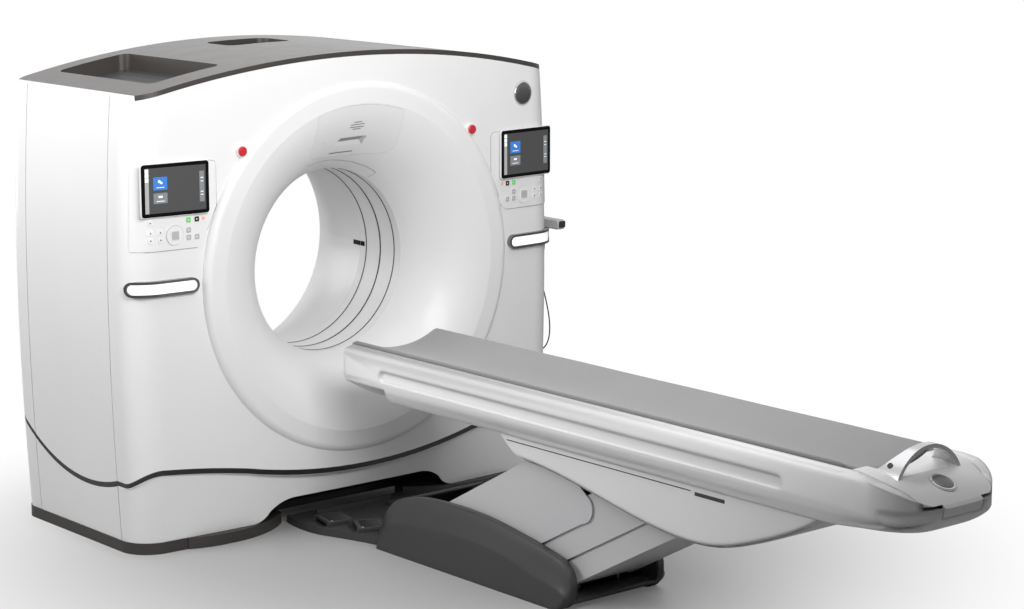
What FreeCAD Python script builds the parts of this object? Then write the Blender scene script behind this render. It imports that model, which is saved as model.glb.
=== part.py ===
"""Whole-body CT scanner: a gantry with an 800 mm bore and the patient table in front of it.

The frame: millimetres, +Z up, origin on the floor straight under the isocentre.  +Y runs along the
bore, from the table's side to the back of the gantry, and +X is to the right of someone who stands
at the table's foot end and looks at the gantry.
"""
import FreeCAD
import Part
import math
import os

V = FreeCAD.Vector

# ------------------------------------------------------------------ gantry, driving dimensions
ISO_Z = 1095.0            # bore axis above the floor
BORE_R = 400.0            # half of the 800 mm bore
HALF_W = 1120.0           # half width of the gantry where its sides bulge most
BULGE_Z = 1035.0          # height of that bulge
BULGE_TOP = 37.0          # how far the sides have drawn in at the shoulder
BULGE_FOOT = 36.0         # and at the floor
SHOULDER_Z = 1905.0
TOP_Z = 2015.0            # crest of the arched top
ARCH_R = 4500.0
FRONT_Y = -396.0          # front face, on the middle plane
FRONT_R = 18500.0         # the front is a very slow curve in plan
BACK_Y = 610.0
CORNER_R = 130.0          # front corners in plan
BACK_CORNER_R = 80.0
WALL = 8.0                # moulded covers
SEAM = 0.8                # gap where one cover seats on another
PANEL_GAP = 4.0           # open gap at the upright seams between the covers
CLEAR = 0.3               # gap between pieces that only rest in one another
SEAM_FRONT_Y = -180.0     # front cover to side cover
SEAM_BACK_Y = 468.0       # side cover to rear cover
BODY_FOOT_Z = 48.0        # the covers stand on the plinth
BODY_SECTIONS = (BODY_FOOT_Z, 520.0, BULGE_Z, 1500.0, TOP_Z + 45.0)

# flare round the bore
THROAT_Y = -146.0         # the straight bore begins here
FLARE_R = 701.0           # sharp inner edge of the flare
FLARE_Y = -410.0
FLARE_BELLY = 55.0        # rise of the flare's curve over its chord
RING_R = 764.0            # flat ring round the flare
RING_FOOT_R = 797.0       # where the ring has run out into the front face
REAR_THROAT_Y = 146.0
REAR_FLARE_R = 510.0
FLARE_WALL = 6.0
MODULE_X = 224.0          # service panel in the top of the flare
MODULE_LOW_Z = ISO_Z + 466.0
MODULE_CORNER_R = 45.0
SEAL_RINGS = ((-101.0, 5.0), (0.0, 7.0), (103.0, 5.0))   # place along the bore and width
SEAL_PROUD = 1.2
LINER_WALL = 5.0

# top cover and its vents
LID_X = 1057.0
LID_RIM = 20.0
LID_SKIN = 5.0
LID_CORNER_R = 65.0
LID_RIBS = (-520.0, 0.0, 520.0)
LID_RIB_T = 6.0
LID_RIB_DEPTH = 36.0
VENT_X = (580.0, 920.0)
VENT_Y = (-227.0, 508.0)
VENT_DEPTH = 70.0
SCOOP_X = 90.0
SCOOP_Y = (210.0, 432.0)

# accent line low round the body
ACCENT_H = 22.0
ACCENT_LOW_Z = 233.0      # in the middle of the front
ACCENT_KNEE = (598.0, 301.0)
ACCENT_HALFWAY = (800.0, 333.0)
ACCENT_PEAK = (1000.0, 354.0)
ACCENT_SHOULDER = (1060.0, 337.0)
ACCENT_SIDE_Y = 50.0      # lowest point along the side
ACCENT_SIDE_Z = 256.0
ACCENT_SIDE_R = 780.0
ACCENT_END_Y = 556.0
ACCENT_SINK = 1.0         # the strip lies this far under the surface
ACCENT_THICK = 3.0

# skirt and plinth
SKIRT_FOOT_Y = -341.0     # front of the skirt at its foot
SKIRT_ARCH_Z = 139.0      # lower edge over the foot tray
SKIRT_ARCH_X = (370.0, 545.0)
PLINTH_PROUD = 4.0
PLINTH_WIDTH = 60.0
TOE_X = (330.0, 690.0)
TOE_Y = (-240.0, -366.0)

# console panels and displays
CONSOLE_SKIN = 3.0
CONSOLE_IN_X = 725.0
CONSOLE_TAPER_X = 770.0
CONSOLE_FOOT_X = 818.0
CONSOLE_END_Y = -314.0    # where it ends on the round corner
CONSOLE_Z = (1267.0, 1612.0)
CONSOLE_WAIST_Z = 1430.0
CONSOLE_TAPER_Z = 1334.0
CONSOLE_CORNER = 18.0
DISPLAY_W = 311.0
DISPLAY_H = 218.0
DISPLAY_T = 10.0
DISPLAY_X = 921.5
DISPLAY_Y = -389.5
DISPLAY_Z = 1513.0
DISPLAY_TURN = 4.3
DISPLAY_CORNER_R = 14.0
PAD_X = 919.7
PAD_Z = 1324.0
PAD_R = 40.0
PAD_GAP = 1.0
PAD_TRAVEL = 1.5
PAD_KEY = 21.0            # half of the square key in the pad's middle
KEY_ROWS = (1382.0, 1341.0, 1311.0)
KEYS = ((819.0, 0), (857.5, 0), (857.5, 1), (857.5, 2), (819.0, 2),
        (1028.0, 0), (1028.0, 1), (1028.0, 2), (986.0, 1), (986.0, 2))
KEY_HALF = 12.0
KEY_PROUD = 1.6

# emergency stop buttons
STOP_X = 602.7
STOP_Z = ISO_Z + 544.8
STOP_R = 20.0
STOP_STEM_R = 8.0
STOP_TRAVEL = 4.0
STOP_PROUD = 12.0

# lit handles
HANDLE_Z = 1117.0
HANDLE_H = 62.0
HANDLE_IN_X = 822.0
HANDLE_END_Y = -308.0
HANDLE_PROUD = 22.0
HANDLE_RIM = 10.0
BAR_PROUD = 17.0

# hand-held reader on the right side
READER_X = 1176.0
READER_Y = -215.0
READER_Z = 1155.0

# gantry frame and rotor
BEAM_X = 850.0
BEAM_W = 160.0
BEAM_H = 120.0
ANCHOR_Y = (-110.0, 490.0)
ANCHOR_R = 11.0
FLOOR_BAR_Y = 60.0        # the bar that stands on the floor under the isocentre
STAND_Y = (190.0, 262.0)
STAND_R = (626.0, 850.0)
RACE_R = (560.0, 626.0)
RACE_GAP = 0.4
RACE_Y = (180.0, 240.0)
DRUM_Y = (112.0, 160.0)
DRUM_R = (446.0, 800.0)
HUB_WALL = 16.0
HUB_END_Y = 300.0
SLIP_RING_R = (470.0, 540.0)
FOCUS_R = 610.0
DETECTOR_IN_R = 1056.0
DETECTOR_DEEP = 80.0
DETECTOR_SLOT = 30.0
DETECTOR_FAN = 26.0

# ------------------------------------------------------------------ table, driving dimensions
CRADLE_Z = 829.0          # top edges of the cradle
CRADLE_X = 223.0
CRADLE_DIP = 58.0         # depth of the cradle's hollow, under the pad
CRADLE_FLAT_X = 150.0
PAD_THICK = 20.0
CRADLE_HEAD_Y = -618.0
PAD_HEAD_Y = -612.0
PAD_FOOT_Y = -3345.0
CAP_START_Y = -3392.0
CRADLE_TRAVEL = 1750.0
SHELL_HEAD_Y = -633.0
NOSE_Y = -3690.0
NOSE_R = 215.0
SHELL_X = 278.0
SHELL_GAP_X = 227.0
SHELL_LOW_Z = 631.0
SHELL_LOW_X = 245.0
SHELL_WALL = 5.0
SHELL_SIDE_WALL = 18.0
CHANNEL_Y = (-868.0, -3122.0)
CHANNEL_Z = (711.0, 763.0)
CHANNEL_DEPTH = 12.0
HEAD_CUT_Y = -895.0
RAIL_X = (104.0, 168.0)
RAIL_TOP_Z = 741.0
RAIL_Y = (-640.0, -3300.0)
CAP_TIP_X = 97.0
CAP_FLOOR_Z = 744.0
GRIP_X = 168.0
GRIP_RISE = 100.0
GRIP_FOOT_Z = 806.0
GRIP_SUNK = 16.0          # how deep the handle's feet stand in the end cap
GRIP_Y = (-3535.0, -3405.0)
GRIP_THICK = 14.0
RELEASE_R = 10.0
RELEASE_PLACE = (-3480.0, 844.0)
RELEASE_PROUD = 3.0
RELEASE_DEEP = 11.0

# lift: a parallelogram between the base and the table top
LIFT_TILT = 28.7          # slope of the arms as shown
LIFT_LOW = 12.6           # slope at the lowest height
LIFT_REACH = 900.0        # pivot to pivot
PIVOT_UP = (-1120.0, 135.0)
PIVOT_MID = (-1688.0, 108.0)
PIVOT_LOW = (-1862.0, 100.0)
PIVOT_R = 20.0
PIVOT_FIT = 0.05
ARM_TOP = 68.0            # top of the upper arm's cover over its pivot line
ARM_UNDER = 247.0
ARM_X = 205.0
ARM_SKIN = 4.0
ARM_NEST = 10.0           # each cover nests this far inside the next one
MID_UNDER = 48.5
MID_HIDDEN = 155.0
MID_DECK = 60.0
LOW_UNDER = 52.0
LOW_HIDDEN = 85.0
LINK_X = (118.0, 150.0)
LINK_HALF = 40.0
LOWER_LINK_X = (62.0, 92.0)
LOWER_LINK_HALF = 30.0
BRACKET_T = 14.0
BELLY_X = 235.0
BELLY_WALL = 5.0
BELLY_ROUND = 22.0
BELLY_MOUTH_Y = -2830.0

# table base, foot tray and pedals
BASE_X = 265.0
CHEEK_IN_X = 212.0
BASE_PLATE_Z = 18.0
TABLE_ANCHOR_X = 130.0
TABLE_ANCHOR_Y = (-960.0, -1790.0)
TABLE_ANCHOR_R = 9.0
CHEEK_WALL = 5.0
CHEEK_BEVEL = 24.0
TRAY_Z = 30.0
TRAY_LIP_Z = 43.0
TRAY_WALL = 9.0
PEDAL_SIZE = (112.0, 134.0, 17.0)
PEDALS = ((199.0, -445.0, 13.0), (148.0, -622.0, 28.0))
PEDAL_GAP = 2.0

BIG = 6000.0


# ------------------------------------------------------------------ helpers
def point(axis, at, u, v):
    """(u, v) in the plane across AXIS: X takes (y, z), Y takes (x, z) and Z takes (x, y)."""
    return {"X": V(at, u, v), "Y": V(u, at, v), "Z": V(u, v, at)}[axis]


def outline(axis, at, start, *steps):
    """A closed wire. A step is an end point, a pair (a point on the arc, its end point), or a list
    of points for one smooth curve through them."""
    edges = []
    here = start
    for step in steps + (start,):
        if isinstance(step, list):
            end = step[-1]
            curve = Part.BSplineCurve()
            curve.interpolate([point(axis, at, *p) for p in [here] + step])
            edges.append(curve.toShape())
        elif isinstance(step[0], tuple):
            middle, end = step
            edges.append(Part.Arc(point(axis, at, *here), point(axis, at, *middle),
                                  point(axis, at, *end)).toShape())
        else:
            end = step
            if math.dist(here, end) < 1e-6:
                continue
            edges.append(Part.LineSegment(point(axis, at, *here), point(axis, at, *end)).toShape())
        here = end
    return Part.Wire(edges)


ALONG = {"X": V(1, 0, 0), "Y": V(0, 1, 0), "Z": V(0, 0, 1)}


def symmetric(first, *steps):
    """Steps of an outline's right half, and then those of its mirror image on the left."""
    ends = [first] + [step[1] if isinstance(step[0], tuple) else step for step in steps]
    out = [first, *steps, (-ends[-1][0], ends[-1][1])]
    for step, end in zip(reversed(steps), reversed(ends[:-1])):
        target = (-end[0], end[1])
        if isinstance(step[0], tuple):
            out.append(((-step[0][0], step[0][1]), target))
        else:
            out.append(target)
    return out


def prism(axis, low, high, start, *steps):
    return Part.Face(outline(axis, low, start, *steps)).extrude(ALONG[axis] * (high - low))


def slab(x0, x1, y0, y1, z0, z1):
    return Part.makeBox(x1 - x0, y1 - y0, z1 - z0, V(x0, y0, z0))


def plate(axis, low, high, u0, u1, v0, v1, radius):
    """A rectangle with round corners, extruded along AXIS."""
    k = radius * (1 - math.sqrt(0.5))
    return prism(axis, low, high, (u0 + radius, v0), (u1 - radius, v0),
                 ((u1 - k, v0 + k), (u1, v0 + radius)), (u1, v1 - radius),
                 ((u1 - k, v1 - k), (u1 - radius, v1)), (u0 + radius, v1),
                 ((u0 + k, v1 - k), (u0, v1 - radius)), (u0, v0 + radius),
                 ((u0 + k, v0 + k), (u0 + radius, v0)))


def rod(axis, u, v, radius, low, high):
    return Part.makeCylinder(radius, high - low, point(axis, low, u, v), ALONG[axis])


def ring(axis, u, v, outer, inner, low, high):
    return rod(axis, u, v, outer, low, high).cut(rod(axis, u, v, inner, low - 1, high + 1))


def turned(start, *steps):
    """A body of revolution about the bore axis, from an outline in (radius, y)."""
    face = Part.Face(outline("Z", ISO_Z, start, *steps))
    return face.revolve(V(0, 0, ISO_Z), V(0, 1, 0), 360)


def mirrored(shape):
    return shape.mirror(V(0, 0, 0), V(1, 0, 0))


def joined(*shapes):
    return shapes[0].multiFuse(list(shapes[1:])).removeSplitter()


def rounded(shape, radius, wanted):
    """Fillet the edges whose middle point passes the test WANTED."""
    edges = []
    for edge in shape.Edges:
        middle = edge.valueAt(0.5 * (edge.FirstParameter + edge.LastParameter))
        if wanted(middle, edge):
            edges.append(edge)
    return shape.makeFillet(radius, edges)


def write(name, shape):
    shape = shape.removeSplitter() if shape.ShapeType == "Compound" else shape
    solids = shape.Solids
    if not shape.isValid() or not solids:
        raise ValueError(name + " is not a valid solid")
    out = solids[0] if len(solids) == 1 else Part.makeCompound(solids)
    out.exportStep("parts/" + name + ".step")
    print("%-22s solids %d  volume %.1f l" % (name, len(solids), out.Volume / 1e6))


def write_pair(name, right):
    write(name + "_right", right)
    write(name + "_left", mirrored(right))


# ------------------------------------------------------------------ gantry body
def half_width(z):
    """Half width of the gantry at height z: the sides bulge towards the middle."""
    if z > BULGE_Z:
        return HALF_W - BULGE_TOP * ((z - BULGE_Z) / (SHOULDER_Z - BULGE_Z)) ** 2
    return HALF_W - BULGE_FOOT * ((BULGE_Z - z) / BULGE_Z) ** 2


def plan_wire(z, inset=0.0, front=FRONT_Y):
    """Plan section of the body: slow front curve, round corners, straight sides and back."""
    side = half_width(z) - inset
    turn_y = front + FRONT_R
    cx = half_width(z) - CORNER_R
    cy = turn_y - math.sqrt((FRONT_R - CORNER_R) ** 2 - cx ** 2)
    r = CORNER_R - inset
    start = math.atan2(cy - turn_y, cx)
    tx = cx + r * math.cos(start)
    ty = cy + r * math.sin(start)
    mx = cx + r * math.cos(start / 2)
    my = cy + r * math.sin(start / 2)
    rb = BACK_CORNER_R - inset
    k = rb * (1 - math.sqrt(0.5))
    back = BACK_Y - inset
    return outline("Z", z, (-tx, ty), ((0.0, front + inset), (tx, ty)),
                   ((mx, my), (side, cy)), (side, back - rb),
                   ((side - k, back - k), (side - rb, back)), (-side + rb, back),
                   ((-side + k, back - k), (-side, back - rb)), (-side, cy),
                   ((-mx, my), (-tx, ty)))


def under_arch(drop, reach=HALF_W + 100):
    """Everything under the arched top, lowered by DROP."""
    crest = TOP_Z - drop
    end = crest - ARCH_R + math.sqrt(ARCH_R ** 2 - reach ** 2)
    return prism("Y", -BIG, BIG, (-reach, 0.0), (reach, 0.0), (reach, end),
                 ((0.0, crest), (-reach, end)))


def body(inset=0.0, drop=0.0):
    sections = [plan_wire(z, inset) for z in BODY_SECTIONS]
    return Part.makeLoft(sections, True, False).common(under_arch(drop))


def side_accent_z(y):
    return ACCENT_SIDE_Z + ACCENT_SIDE_R - math.sqrt(ACCENT_SIDE_R ** 2 - (y - ACCENT_SIDE_Y) ** 2)


def under_front_line(dz):
    """Everything before the side seams that lies under the accent line raised by DZ."""
    corner_z = side_accent_z(SEAM_FRONT_Y) + dz
    outside = HALF_W + 60

    def up(place):
        return (place[0], place[1] + dz)

    steps = symmetric(up(ACCENT_KNEE), (up(ACCENT_HALFWAY), up(ACCENT_PEAK)),
                      (up(ACCENT_SHOULDER), (half_width(corner_z), corner_z)),
                      (outside, corner_z), (outside, -100.0))
    return prism("Y", -BIG, SEAM_FRONT_Y, *steps, (up((0.0, ACCENT_LOW_Z)), steps[0]))


def under_side_line(dz):
    """The same along both sides, behind the side seams."""
    start = SEAM_FRONT_Y
    end = ACCENT_END_Y
    return prism("X", -BIG, BIG, (start, side_accent_z(start) + dz),
                 ((ACCENT_SIDE_Y, ACCENT_SIDE_Z + dz), (end, side_accent_z(end) + dz)),
                 (end, -100.0), (start, -100.0))


def accent_band(half):
    """The band HALF above and HALF below the accent line, right round the gantry."""
    return joined(under_front_line(half).cut(under_front_line(-half)),
                  under_side_line(half).cut(under_side_line(-half)))


def flare_point():
    """The point of the flare's curve that stands off its chord."""
    dr = FLARE_R - BORE_R
    dy = FLARE_Y - THROAT_Y
    chord = math.hypot(dr, dy)
    return ((FLARE_R + BORE_R) / 2 + FLARE_BELLY * dy / chord,
            (FLARE_Y + THROAT_Y) / 2 - FLARE_BELLY * dr / chord)


def front_flare():
    """Ring and flare, turned about the bore axis."""
    mid = flare_point()
    w = FLARE_WALL
    drop = FRONT_Y + 24 - FLARE_Y
    reach = RING_FOOT_R - RING_R
    soft = (reach ** 2 + drop ** 2) / (2 * drop)
    half = 0.5 * math.atan2(reach, soft - drop)
    return turned((BORE_R, THROAT_Y), (mid, (FLARE_R, FLARE_Y)), (RING_R, FLARE_Y),
                  ((RING_R + soft * math.sin(half), FLARE_Y + soft * (1 - math.cos(half))),
                   (RING_FOOT_R, FRONT_Y + 24)),
                  (RING_FOOT_R - 12, FRONT_Y + 26), (RING_R - 4, FLARE_Y + 1.5 * w),
                  (FLARE_R + w, FLARE_Y + 1.5 * w),
                  ((mid[0] + w, mid[1] + w), (BORE_R + w, THROAT_Y)))


def module_window(gap):
    """Front view of the service panel at the top of the flare, shrunk by GAP."""
    x = MODULE_X - gap
    low = MODULE_LOW_Z + gap
    r = MODULE_CORNER_R
    k = r * (1 - math.sqrt(0.5))
    high = ISO_Z + FLARE_R + 30
    return prism("Y", FLARE_Y - 40, THROAT_Y, (-x + r, low), (x - r, low), ((x - k, low + k), (x, low + r)),
                 (x, high), (-x, high), (-x, low + r), ((-x + k, low + k), (-x + r, low)))


def module_limit(gap):
    """The panel ends short of the flare's sharp edge."""
    return rod("Y", 0.0, ISO_Z, FLARE_R - 6 - gap, FLARE_Y - 60, THROAT_Y + 20)


def lid_region(grow):
    """Space of the top cover: a plate with round front corners, down to its rim."""
    x = LID_X + grow
    r = LID_CORNER_R + grow
    k = r * (1 - math.sqrt(0.5))
    low = FRONT_Y - 6 - grow
    plan = prism("Z", 1500.0, BIG, (-x + r, low), (x - r, low), ((x - k, low + k), (x, low + r)),
                 (x, BACK_Y + 40), (-x, BACK_Y + 40), (-x, low + r), ((-x + k, low + k), (-x + r, low)))
    return plan.cut(under_arch(LID_RIM + grow))


def stop_boss(side):
    return rod("Y", side * STOP_X, STOP_Z, STOP_R + 5, FRONT_Y - 2, FRONT_Y + 14)


def console_outline():
    """Front view of the right-hand console panel, which runs on round the corner."""
    inner, taper, low, high = CONSOLE_IN_X, CONSOLE_TAPER_X, CONSOLE_Z[0], CONSOLE_Z[1]
    c = CONSOLE_CORNER
    end = HALF_W + 60
    turn = (0.7 * taper + 0.3 * CONSOLE_FOOT_X, 0.7 * low + 0.3 * CONSOLE_TAPER_Z)
    return prism("Y", FRONT_Y - 60, CONSOLE_END_Y, (end, high), (inner + c, high),
                 ((inner + 0.3 * c, high - 0.3 * c), (inner, high - c)),
                 (inner, CONSOLE_WAIST_Z), (taper, CONSOLE_TAPER_Z), (turn, (CONSOLE_FOOT_X, low)),
                 (end, low))


def handle_space(shrink):
    """Front view of the right-hand lit handle, cut off on the side of the gantry."""
    h = HANDLE_H / 2 - shrink
    x = HANDLE_IN_X + shrink
    end = HALF_W + 60
    front = prism("Y", FRONT_Y - 60, HANDLE_END_Y - shrink, (end, HANDLE_Z - h), (end, HANDLE_Z + h),
                  (x + h, HANDLE_Z + h), ((x, HANDLE_Z), (x + h, HANDLE_Z - h)))
    tip = HANDLE_END_Y - shrink
    cap = prism("X", HALF_W - 200, end, (tip - h, HANDLE_Z - h), (FRONT_Y - 60, HANDLE_Z - h),
                (FRONT_Y - 60, HANDLE_Z + h), (tip - h, HANDLE_Z + h),
                ((tip, HANDLE_Z), (tip - h, HANDLE_Z - h)))
    return front.common(cap.fuse(slab(0, HALF_W - 200, FRONT_Y - 60, 0, HANDLE_Z - h, HANDLE_Z + h)))


def front_y_at(x):
    """Where the front face lies at distance x from the middle plane."""
    return FRONT_Y + FRONT_R - math.sqrt(FRONT_R ** 2 - x ** 2)


def gantry_covers():
    outer = body()
    inner = body(WALL, WALL)
    shell = outer.cut(inner).cut(lid_region(SEAM))
    accent_void = outer.cut(body(ACCENT_SINK + ACCENT_THICK + CLEAR, 0))
    half = ACCENT_H / 2
    strip = body(ACCENT_SINK).cut(body(ACCENT_SINK + ACCENT_THICK))
    write("accent_trim", strip.common(accent_band(half)))
    shell = shell.cut(accent_void.common(accent_band(half + CLEAR)))

    front = shell.common(slab(-BIG, BIG, -BIG, SEAM_FRONT_Y - PANEL_GAP / 2, 0, BIG))
    front = front.cut(under_front_line(-half - SEAM))
    front = front.cut(rod("Y", 0.0, ISO_Z, RING_FOOT_R - 6, -BIG, BIG))
    flare = front_flare().cut(module_window(0.0).common(module_limit(0.0)))
    front = joined(front, flare)
    for side in (1, -1):
        front = front.fuse(stop_boss(side))
        front = front.cut(rod("Y", side * STOP_X, STOP_Z, STOP_R + CLEAR, -BIG, FRONT_Y + 5.5))
        front = front.cut(rod("Y", side * STOP_X, STOP_Z, STOP_STEM_R + CLEAR, -BIG, FRONT_Y + 60))
        front = front.cut(rod("Y", side * PAD_X, PAD_Z, PAD_R + PAD_GAP + 3 + CLEAR, -BIG, 0))
    write("front_cover", front)
    write("flare_module", front_flare().common(module_window(SEAM)).common(module_limit(SEAM)))

    sides = shell.common(slab(0, BIG, SEAM_FRONT_Y + PANEL_GAP / 2, SEAM_BACK_Y - PANEL_GAP / 2,
                              0, BIG))
    write_pair("side_cover", sides)

    rear_shell = shell.common(slab(-BIG, BIG, SEAM_BACK_Y + PANEL_GAP / 2, BIG, 0, BIG))
    rear_shell = rear_shell.cut(rod("Y", 0.0, ISO_Z, REAR_FLARE_R + 2, -BIG, BIG))
    cone = turned((BORE_R, REAR_THROAT_Y + SEAM),
                  ((BORE_R + 26, REAR_THROAT_Y + 200), (REAR_FLARE_R, BACK_Y)),
                  (REAR_FLARE_R + 8, BACK_Y), (REAR_FLARE_R + 8, BACK_Y - WALL),
                  ((BORE_R + 26 + FLARE_WALL, REAR_THROAT_Y + 200),
                   (BORE_R + FLARE_WALL, REAR_THROAT_Y + SEAM)))
    write("rear_cover", joined(rear_shell, cone))


def skirt_loft(inset):
    """Body of the skirt: its front draws back towards the floor."""
    top = ACCENT_PEAK[1] + 20
    wires = [plan_wire(BODY_FOOT_Z, inset, SKIRT_FOOT_Y), plan_wire(top, inset, FRONT_Y)]
    return Part.makeLoft(wires, True, True)


def front_skirt():
    skirt = skirt_loft(0.0).cut(skirt_loft(WALL))
    skirt = skirt.common(under_front_line(-ACCENT_H / 2 - 2 * SEAM))
    skirt = skirt.common(slab(-BIG, BIG, -BIG, SEAM_FRONT_Y - PANEL_GAP / 2, 0, BIG))
    a, b = SKIRT_ARCH_X
    z0, z1 = BODY_FOOT_Z, SKIRT_ARCH_Z
    m = (a + b) / 2
    zm = (z0 + z1) / 2
    arch = prism("Y", -BIG, SEAM_FRONT_Y, (-b, -10.0), (-b, z0),
                 ((-m - 32, z0 + 14), (-m, zm)), ((-a - 22, z1 - 9), (-a + 30, z1)), (a - 30, z1),
                 ((a + 22, z1 - 9), (m, zm)), ((m + 32, z0 + 14), (b, z0)), (b, -10.0))
    write("front_skirt", skirt.cut(arch))


def plinth():
    """Dark plinth under each half, with a toe that reaches in beside the foot tray."""
    foot = plan_wire(BODY_FOOT_Z, -PLINTH_PROUD, SKIRT_FOOT_Y)
    outer = Part.Face(foot).extrude(V(0, 0, -BODY_FOOT_Z))
    inner = Part.Face(plan_wire(BODY_FOOT_Z, PLINTH_WIDTH, SKIRT_FOOT_Y)).extrude(V(0, 0, -BODY_FOOT_Z))
    band = outer.cut(inner).common(slab(1.0, BIG, -BIG, BIG, 0, BODY_FOOT_Z))
    band = band.cut(slab(0, TOE_X[1], -BIG, 0, 0, BODY_FOOT_Z))
    x0, x1 = TOE_X
    y0, y1 = TOE_Y
    toe = prism("Z", 0, BODY_FOOT_Z, (x1 + 170, y1 + 36), ((x1 + 60, y1 + 4), (x1 - 20, y1)),
                ((x0 + 150, y1 + 32), (x0, y0)), (x0, y0 + 60), (x1 + 170, y0 + 60))
    write_pair("plinth", joined(band, toe))


def top_cover():
    lid = body(0.0).common(lid_region(0.0))
    room = slab(-LID_X + 20, LID_X - 20, FRONT_Y + 30, BACK_Y - 20, 0, BIG)
    lid = lid.cut(body(2 * WALL, LID_SKIN).common(room))
    for x in LID_RIBS:
        rib = slab(x - LID_RIB_T / 2, x + LID_RIB_T / 2, FRONT_Y + 29, BACK_Y - 19, 0, BIG)
        lid = lid.fuse(rib.common(under_arch(LID_SKIN - 1)).cut(under_arch(LID_RIB_DEPTH)))
    screens = []
    for side in (1, -1):
        x0, x1 = sorted((side * VENT_X[0], side * VENT_X[1]))
        well = plate("Z", TOP_Z - 220, BIG, x0, x1, VENT_Y[0], VENT_Y[1], 40)
        wall = plate("Z", TOP_Z - 220, BIG, x0 - 5, x1 + 5, VENT_Y[0] - 5, VENT_Y[1] + 5, 45)
        tub = wall.cut(well).common(under_arch(0.0)).cut(under_arch(VENT_DEPTH + 6))
        lid = lid.cut(well).fuse(tub)
        screen = plate("Z", TOP_Z - 220, BIG, x0 + CLEAR, x1 - CLEAR, VENT_Y[0] + CLEAR,
                       VENT_Y[1] - CLEAR, 40 - CLEAR)
        screens.append(screen.common(under_arch(VENT_DEPTH)).cut(under_arch(VENT_DEPTH + 5)))
    scoop = plate("Z", TOP_Z - 60, BIG, -2.6 * SCOOP_X, SCOOP_X, SCOOP_Y[0], SCOOP_Y[1], 50)
    rim = plate("Z", TOP_Z - 60, BIG, -2.6 * SCOOP_X - 5, SCOOP_X + 5, SCOOP_Y[0] - 5, SCOOP_Y[1] + 5, 55)
    cup = rim.common(under_arch(0.0)).cut(under_arch(40.0)).cut(scoop.cut(under_arch(35.0)))
    lid = lid.cut(scoop).fuse(cup)
    write("top_cover", lid.removeSplitter())
    write("vent_screens", Part.makeCompound(screens))


def bore_liner():
    """Scan window between the two flares, with the three seal bands that lie on it."""
    write("scan_window", ring("Y", 0.0, ISO_Z, BORE_R + LINER_WALL, BORE_R, THROAT_Y + SEAM,
                              REAR_THROAT_Y))
    outer = BORE_R - CLEAR
    seals = [ring("Y", 0.0, ISO_Z, outer, outer - SEAL_PROUD, y - width / 2, y + width / 2)
             for y, width in SEAL_RINGS]
    write("bore_seals", Part.makeCompound(seals))


# ------------------------------------------------------------------ consoles, handles, buttons
def console():
    skin = body(-CONSOLE_SKIN - CLEAR).cut(body(-CLEAR))
    panel = skin.common(console_outline())
    pad_front = front_y_at(PAD_X) - CONSOLE_SKIN
    hole_r = PAD_R + PAD_GAP
    panel = panel.cut(rod("Y", PAD_X, PAD_Z, hole_r, -BIG, 0))
    panel = panel.cut(rod("Y", 0.0, ISO_Z, RING_FOOT_R + CLEAR, -BIG, 0))
    cup = ring("Y", PAD_X, PAD_Z, hole_r + 3, hole_r, pad_front + 1, pad_front + 22)
    floor = rod("Y", PAD_X, PAD_Z, hole_r + 3, pad_front + 22, pad_front + 25)
    neck = plate("Y", DISPLAY_Y - 20, DISPLAY_Y + 60, DISPLAY_X - 110, DISPLAY_X + 100,
                 DISPLAY_Z - 80, DISPLAY_Z + 80, 20).cut(body(-CLEAR))
    back = display_box(DISPLAY_T / 2 + CLEAR, 90)
    parts = [panel, cup, floor, neck.common(back)]
    for x, row in KEYS:
        key = plate("Y", FRONT_Y - 40, 0, x - KEY_HALF, x + KEY_HALF, KEY_ROWS[row] - KEY_HALF,
                    KEY_ROWS[row] + KEY_HALF, 5)
        parts.append(key.common(body(-CONSOLE_SKIN - CLEAR - KEY_PROUD)).cut(body(-2 * CLEAR)))
    write_pair("console_panel", joined(*parts))

    pad = rod("Y", PAD_X, PAD_Z, PAD_R, pad_front - 2.5, pad_front + 2.5)
    dish = Part.makeSphere(160, V(PAD_X, pad_front - 2.5 - 157.6, PAD_Z))
    key = plate("Y", pad_front - 4, pad_front, PAD_X - PAD_KEY, PAD_X + PAD_KEY, PAD_Z - PAD_KEY,
                PAD_Z + PAD_KEY, 6)
    stem = rod("Y", PAD_X, PAD_Z, 6, pad_front, pad_front + 22 - CLEAR - PAD_TRAVEL)
    write_pair("nav_pad", joined(pad.cut(dish), key, stem))


def display_box(front, back, bevel=0.0):
    """A slab behind or around the right-hand display, between two depths in its own turned frame."""
    box = plate("Y", front, back, -DISPLAY_W / 2, DISPLAY_W / 2, -DISPLAY_H / 2, DISPLAY_H / 2,
                DISPLAY_CORNER_R)
    if bevel:
        box = box.makeChamfer(bevel, [e for e in box.Edges if e.BoundBox.YLength < 0.01])
    box.rotate(V(0, 0, 0), V(0, 0, 1), DISPLAY_TURN)
    box.translate(V(DISPLAY_X, DISPLAY_Y + DISPLAY_T / 2, DISPLAY_Z))
    return box


def display():
    write_pair("display", display_box(-DISPLAY_T / 2, DISPLAY_T / 2, 1.5))


def stop_button():
    cap = rod("Y", STOP_X, STOP_Z, STOP_R, FRONT_Y + 5 - STOP_PROUD - STOP_TRAVEL, FRONT_Y + 5 - STOP_TRAVEL)
    cap = cap.makeChamfer(3.0, [e for e in cap.Edges if e.Closed and e.CenterOfMass.y < FRONT_Y - 8])
    stem = rod("Y", STOP_X, STOP_Z, STOP_STEM_R, FRONT_Y - 2, FRONT_Y + 30)
    write_pair("stop_button", joined(cap, stem))


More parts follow.
